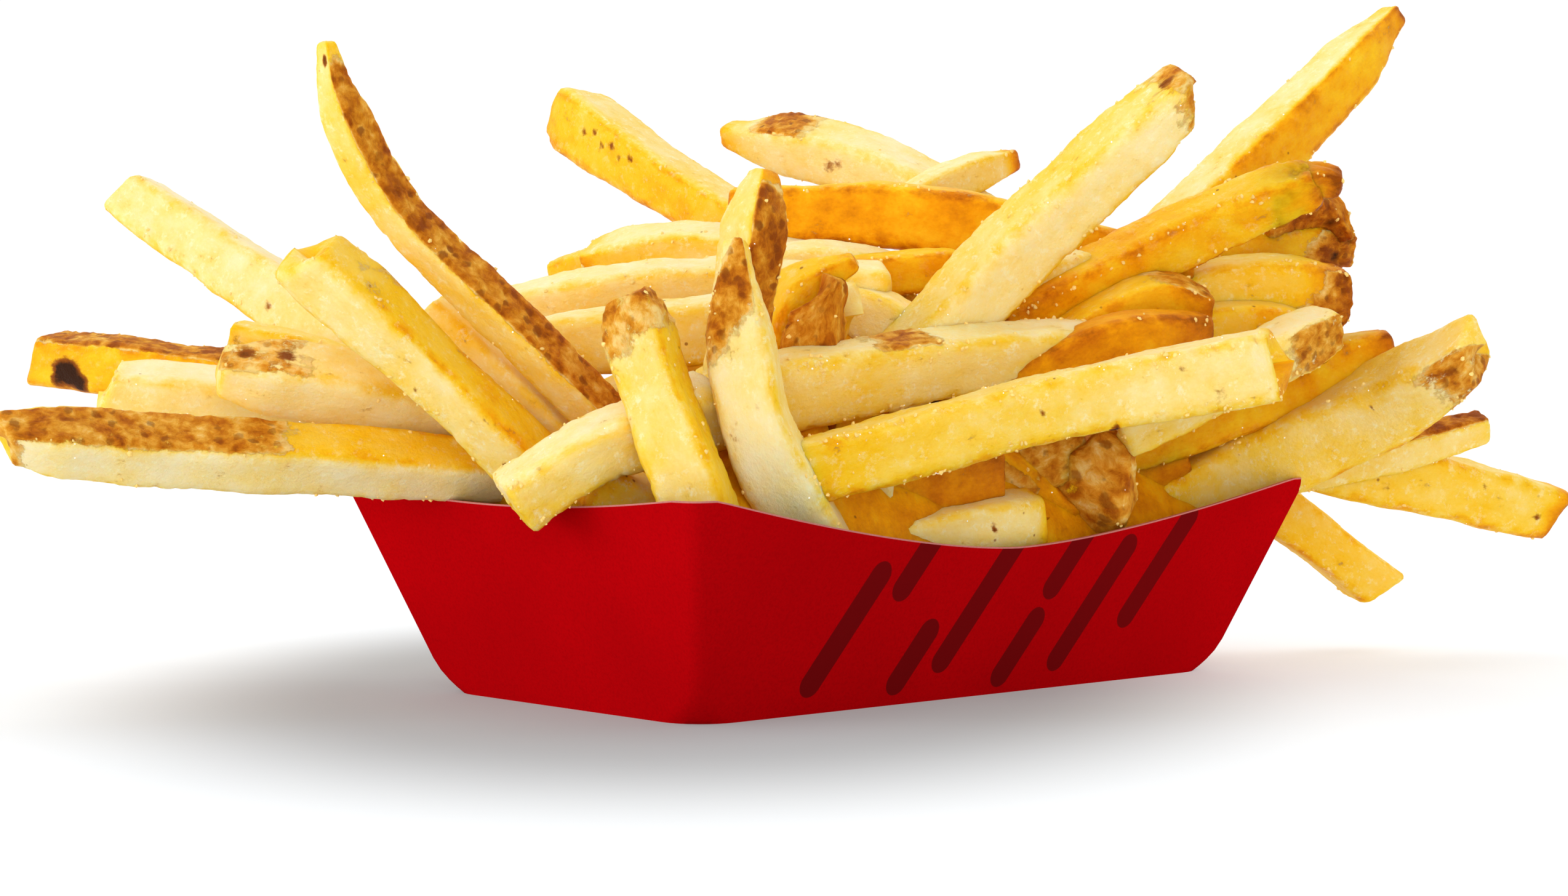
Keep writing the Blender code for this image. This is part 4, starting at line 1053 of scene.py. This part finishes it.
def makeTray(look, board):
    outside = boardMaterial("printed_red_board", board["print"], board["shape"])
    inside = boardMaterial("inner_red_board", board["inside"], roughness=0.7)
    edge = boardMaterial("cut_board_edge", board["edge"], roughness=0.8)
    outer = wallRings(look, 0.0, 0.0, 10)
    inner = wallRings(look, -look["board"], 0.0, 10)
    inner = [[(x, y, z + (look["board"] if row < 4 else 0)) for x, y, z in ring] for row, ring in enumerate(inner)]
    count = len(outer[0])
    verts = [tuple(c * mm for c in p) for ring in outer + inner[::-1] for p in ring]
    faces = loftFaces(len(outer) + len(inner), count)
    faces.append(tuple(reversed(range(count))))
    faces.append(tuple(range((2 * len(outer) - 1) * count, 2 * len(outer) * count)))
    obj = meshObject("folded_tray", verts, (), faces)
    for material in (outside, inside, edge):
        obj.data.materials.append(material)
    kinds = []
    for row in range(2 * len(outer) - 1):
        kinds += [0 if row < len(outer) - 2 else 2 if row < len(outer) else 1] * count
    obj.data.polygons.foreach_set("material_index", kinds + [0, 1])
    obj.data.shade_smooth()
    obj.data.set_sharp_from_angle(angle=math.radians(40))
    return obj


carton = makeTray(tray, boardLook)
print("carton made")


studio = {"floor": (200, 204, 207), "glow": 0.41, "size": 12.0, "sky": (0.32, 1.03), "brightSide": (-0.3, 0.93, 0.2),
          "skySpan": (-1.0, 0.55), "shade": 0.5, "shadeReach": (0.85, 1.75), "shadeSize": (0.058, 0.085),
          "shadeShift": (0.025, 0.01)}


def makeFloor(look):
    half = look["size"] / 2
    floor = meshObject("floor", [(-half, -half, 0), (half, -half, 0), (half, half, 0), (-half, half, 0)],
                       (), [(0, 1, 2, 3)])
    material, tree, shader = newMaterial("pale_floor")
    place = addNode(tree, "ShaderNodeTexCoord").outputs["Object"]
    # a painted shadow round the tray: the paper's colour and its glow darken there
    across, away = (fanTurn @ Vector(axis) for axis in ((1, 0, 0), (0, 1, 0)))
    parts = [calc(tree, "ADD", vectorCalc(tree, "DOT_PRODUCT", place, tuple(axis)), shift)
             for axis, shift in zip((across, away), look["shadeShift"])]
    parts = [calc(tree, "DIVIDE", part, size) for part, size in zip(parts, look["shadeSize"])]
    ring = calc(tree, "SQRT", calc(tree, "ADD", *[calc(tree, "MULTIPLY", part, part) for part in parts]))
    share = remap(tree, ring, *look["shadeReach"], smooth=True)
    paintedShadowColour = tuple(c * look["shade"] ** (1 / 2.2) for c in look["floor"])
    tone = mixColour(tree, share, paintedShadowColour, look["floor"])
    tree.links.new(tone, shader.inputs["Base Color"])
    # the floor's glow dims under the same painted shadow
    paintedShadowGlow = remap(tree, share, 0.0, 1.0, look["glow"] * look["shade"], look["glow"])
    tree.links.new(paintedShadowGlow, shader.inputs["Emission Strength"])
    shader.inputs["Emission Color"].default_value = (1, 1, 1, 1)
    shader.inputs["Roughness"].default_value = 0.9
    shader.inputs["Specular IOR Level"].default_value = 0.1
    floor.data.materials.append(material)


def addSun(name, towards, strength, softness):
    # a far, soft light; towards points from the object to the light, in the fan's frame
    data = bpy.data.lights.new(name, "SUN")
    data.energy = strength
    data.angle = math.radians(softness)
    lamp = bpy.data.objects.new(name, data)
    lamp.rotation_euler = (fanTurn @ Vector(towards)).to_track_quat("Z", "Y").to_euler()
    bpy.context.scene.collection.objects.link(lamp)


def lightStudio(look):
    world = bpy.data.worlds.new("studio")
    world.use_nodes = True
    tree = world.node_tree
    heading = addNode(tree, "ShaderNodeTexCoord").outputs["Generated"]
    bright = (fanTurn @ Vector(look["brightSide"])).normalized()
    towards = vectorCalc(tree, "DOT_PRODUCT", heading, tuple(bright))
    strength = remap(tree, towards, *look["skySpan"], *look["sky"])
    tree.nodes["Background"].inputs["Color"].default_value = (1, 1, 1, 1)
    tree.links.new(strength, tree.nodes["Background"].inputs["Strength"])
    bpy.context.scene.world = world
    bpy.context.scene.view_settings.view_transform = "Standard"
    addSun("overhead", (0.3, 0.45, 1.0), 0.62, 50)
    addSun("left", (-1.0, -0.5, 0.1), 1.6, 50)
    addSun("front", (0.1, -1.0, 0.06), 1.76, 60)


makeFloor(studio)
lightStudio(studio)
print("stage set")

heapPieces = [core, paleHeap, goldenHeap, skinHeap, farHeap, topHeap, fillerHeap, saltGrains, friedCrumbs]
for piece in heapPieces:
    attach(piece, "root")
    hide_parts("fries_heap")
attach(carton, "root")
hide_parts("carton")
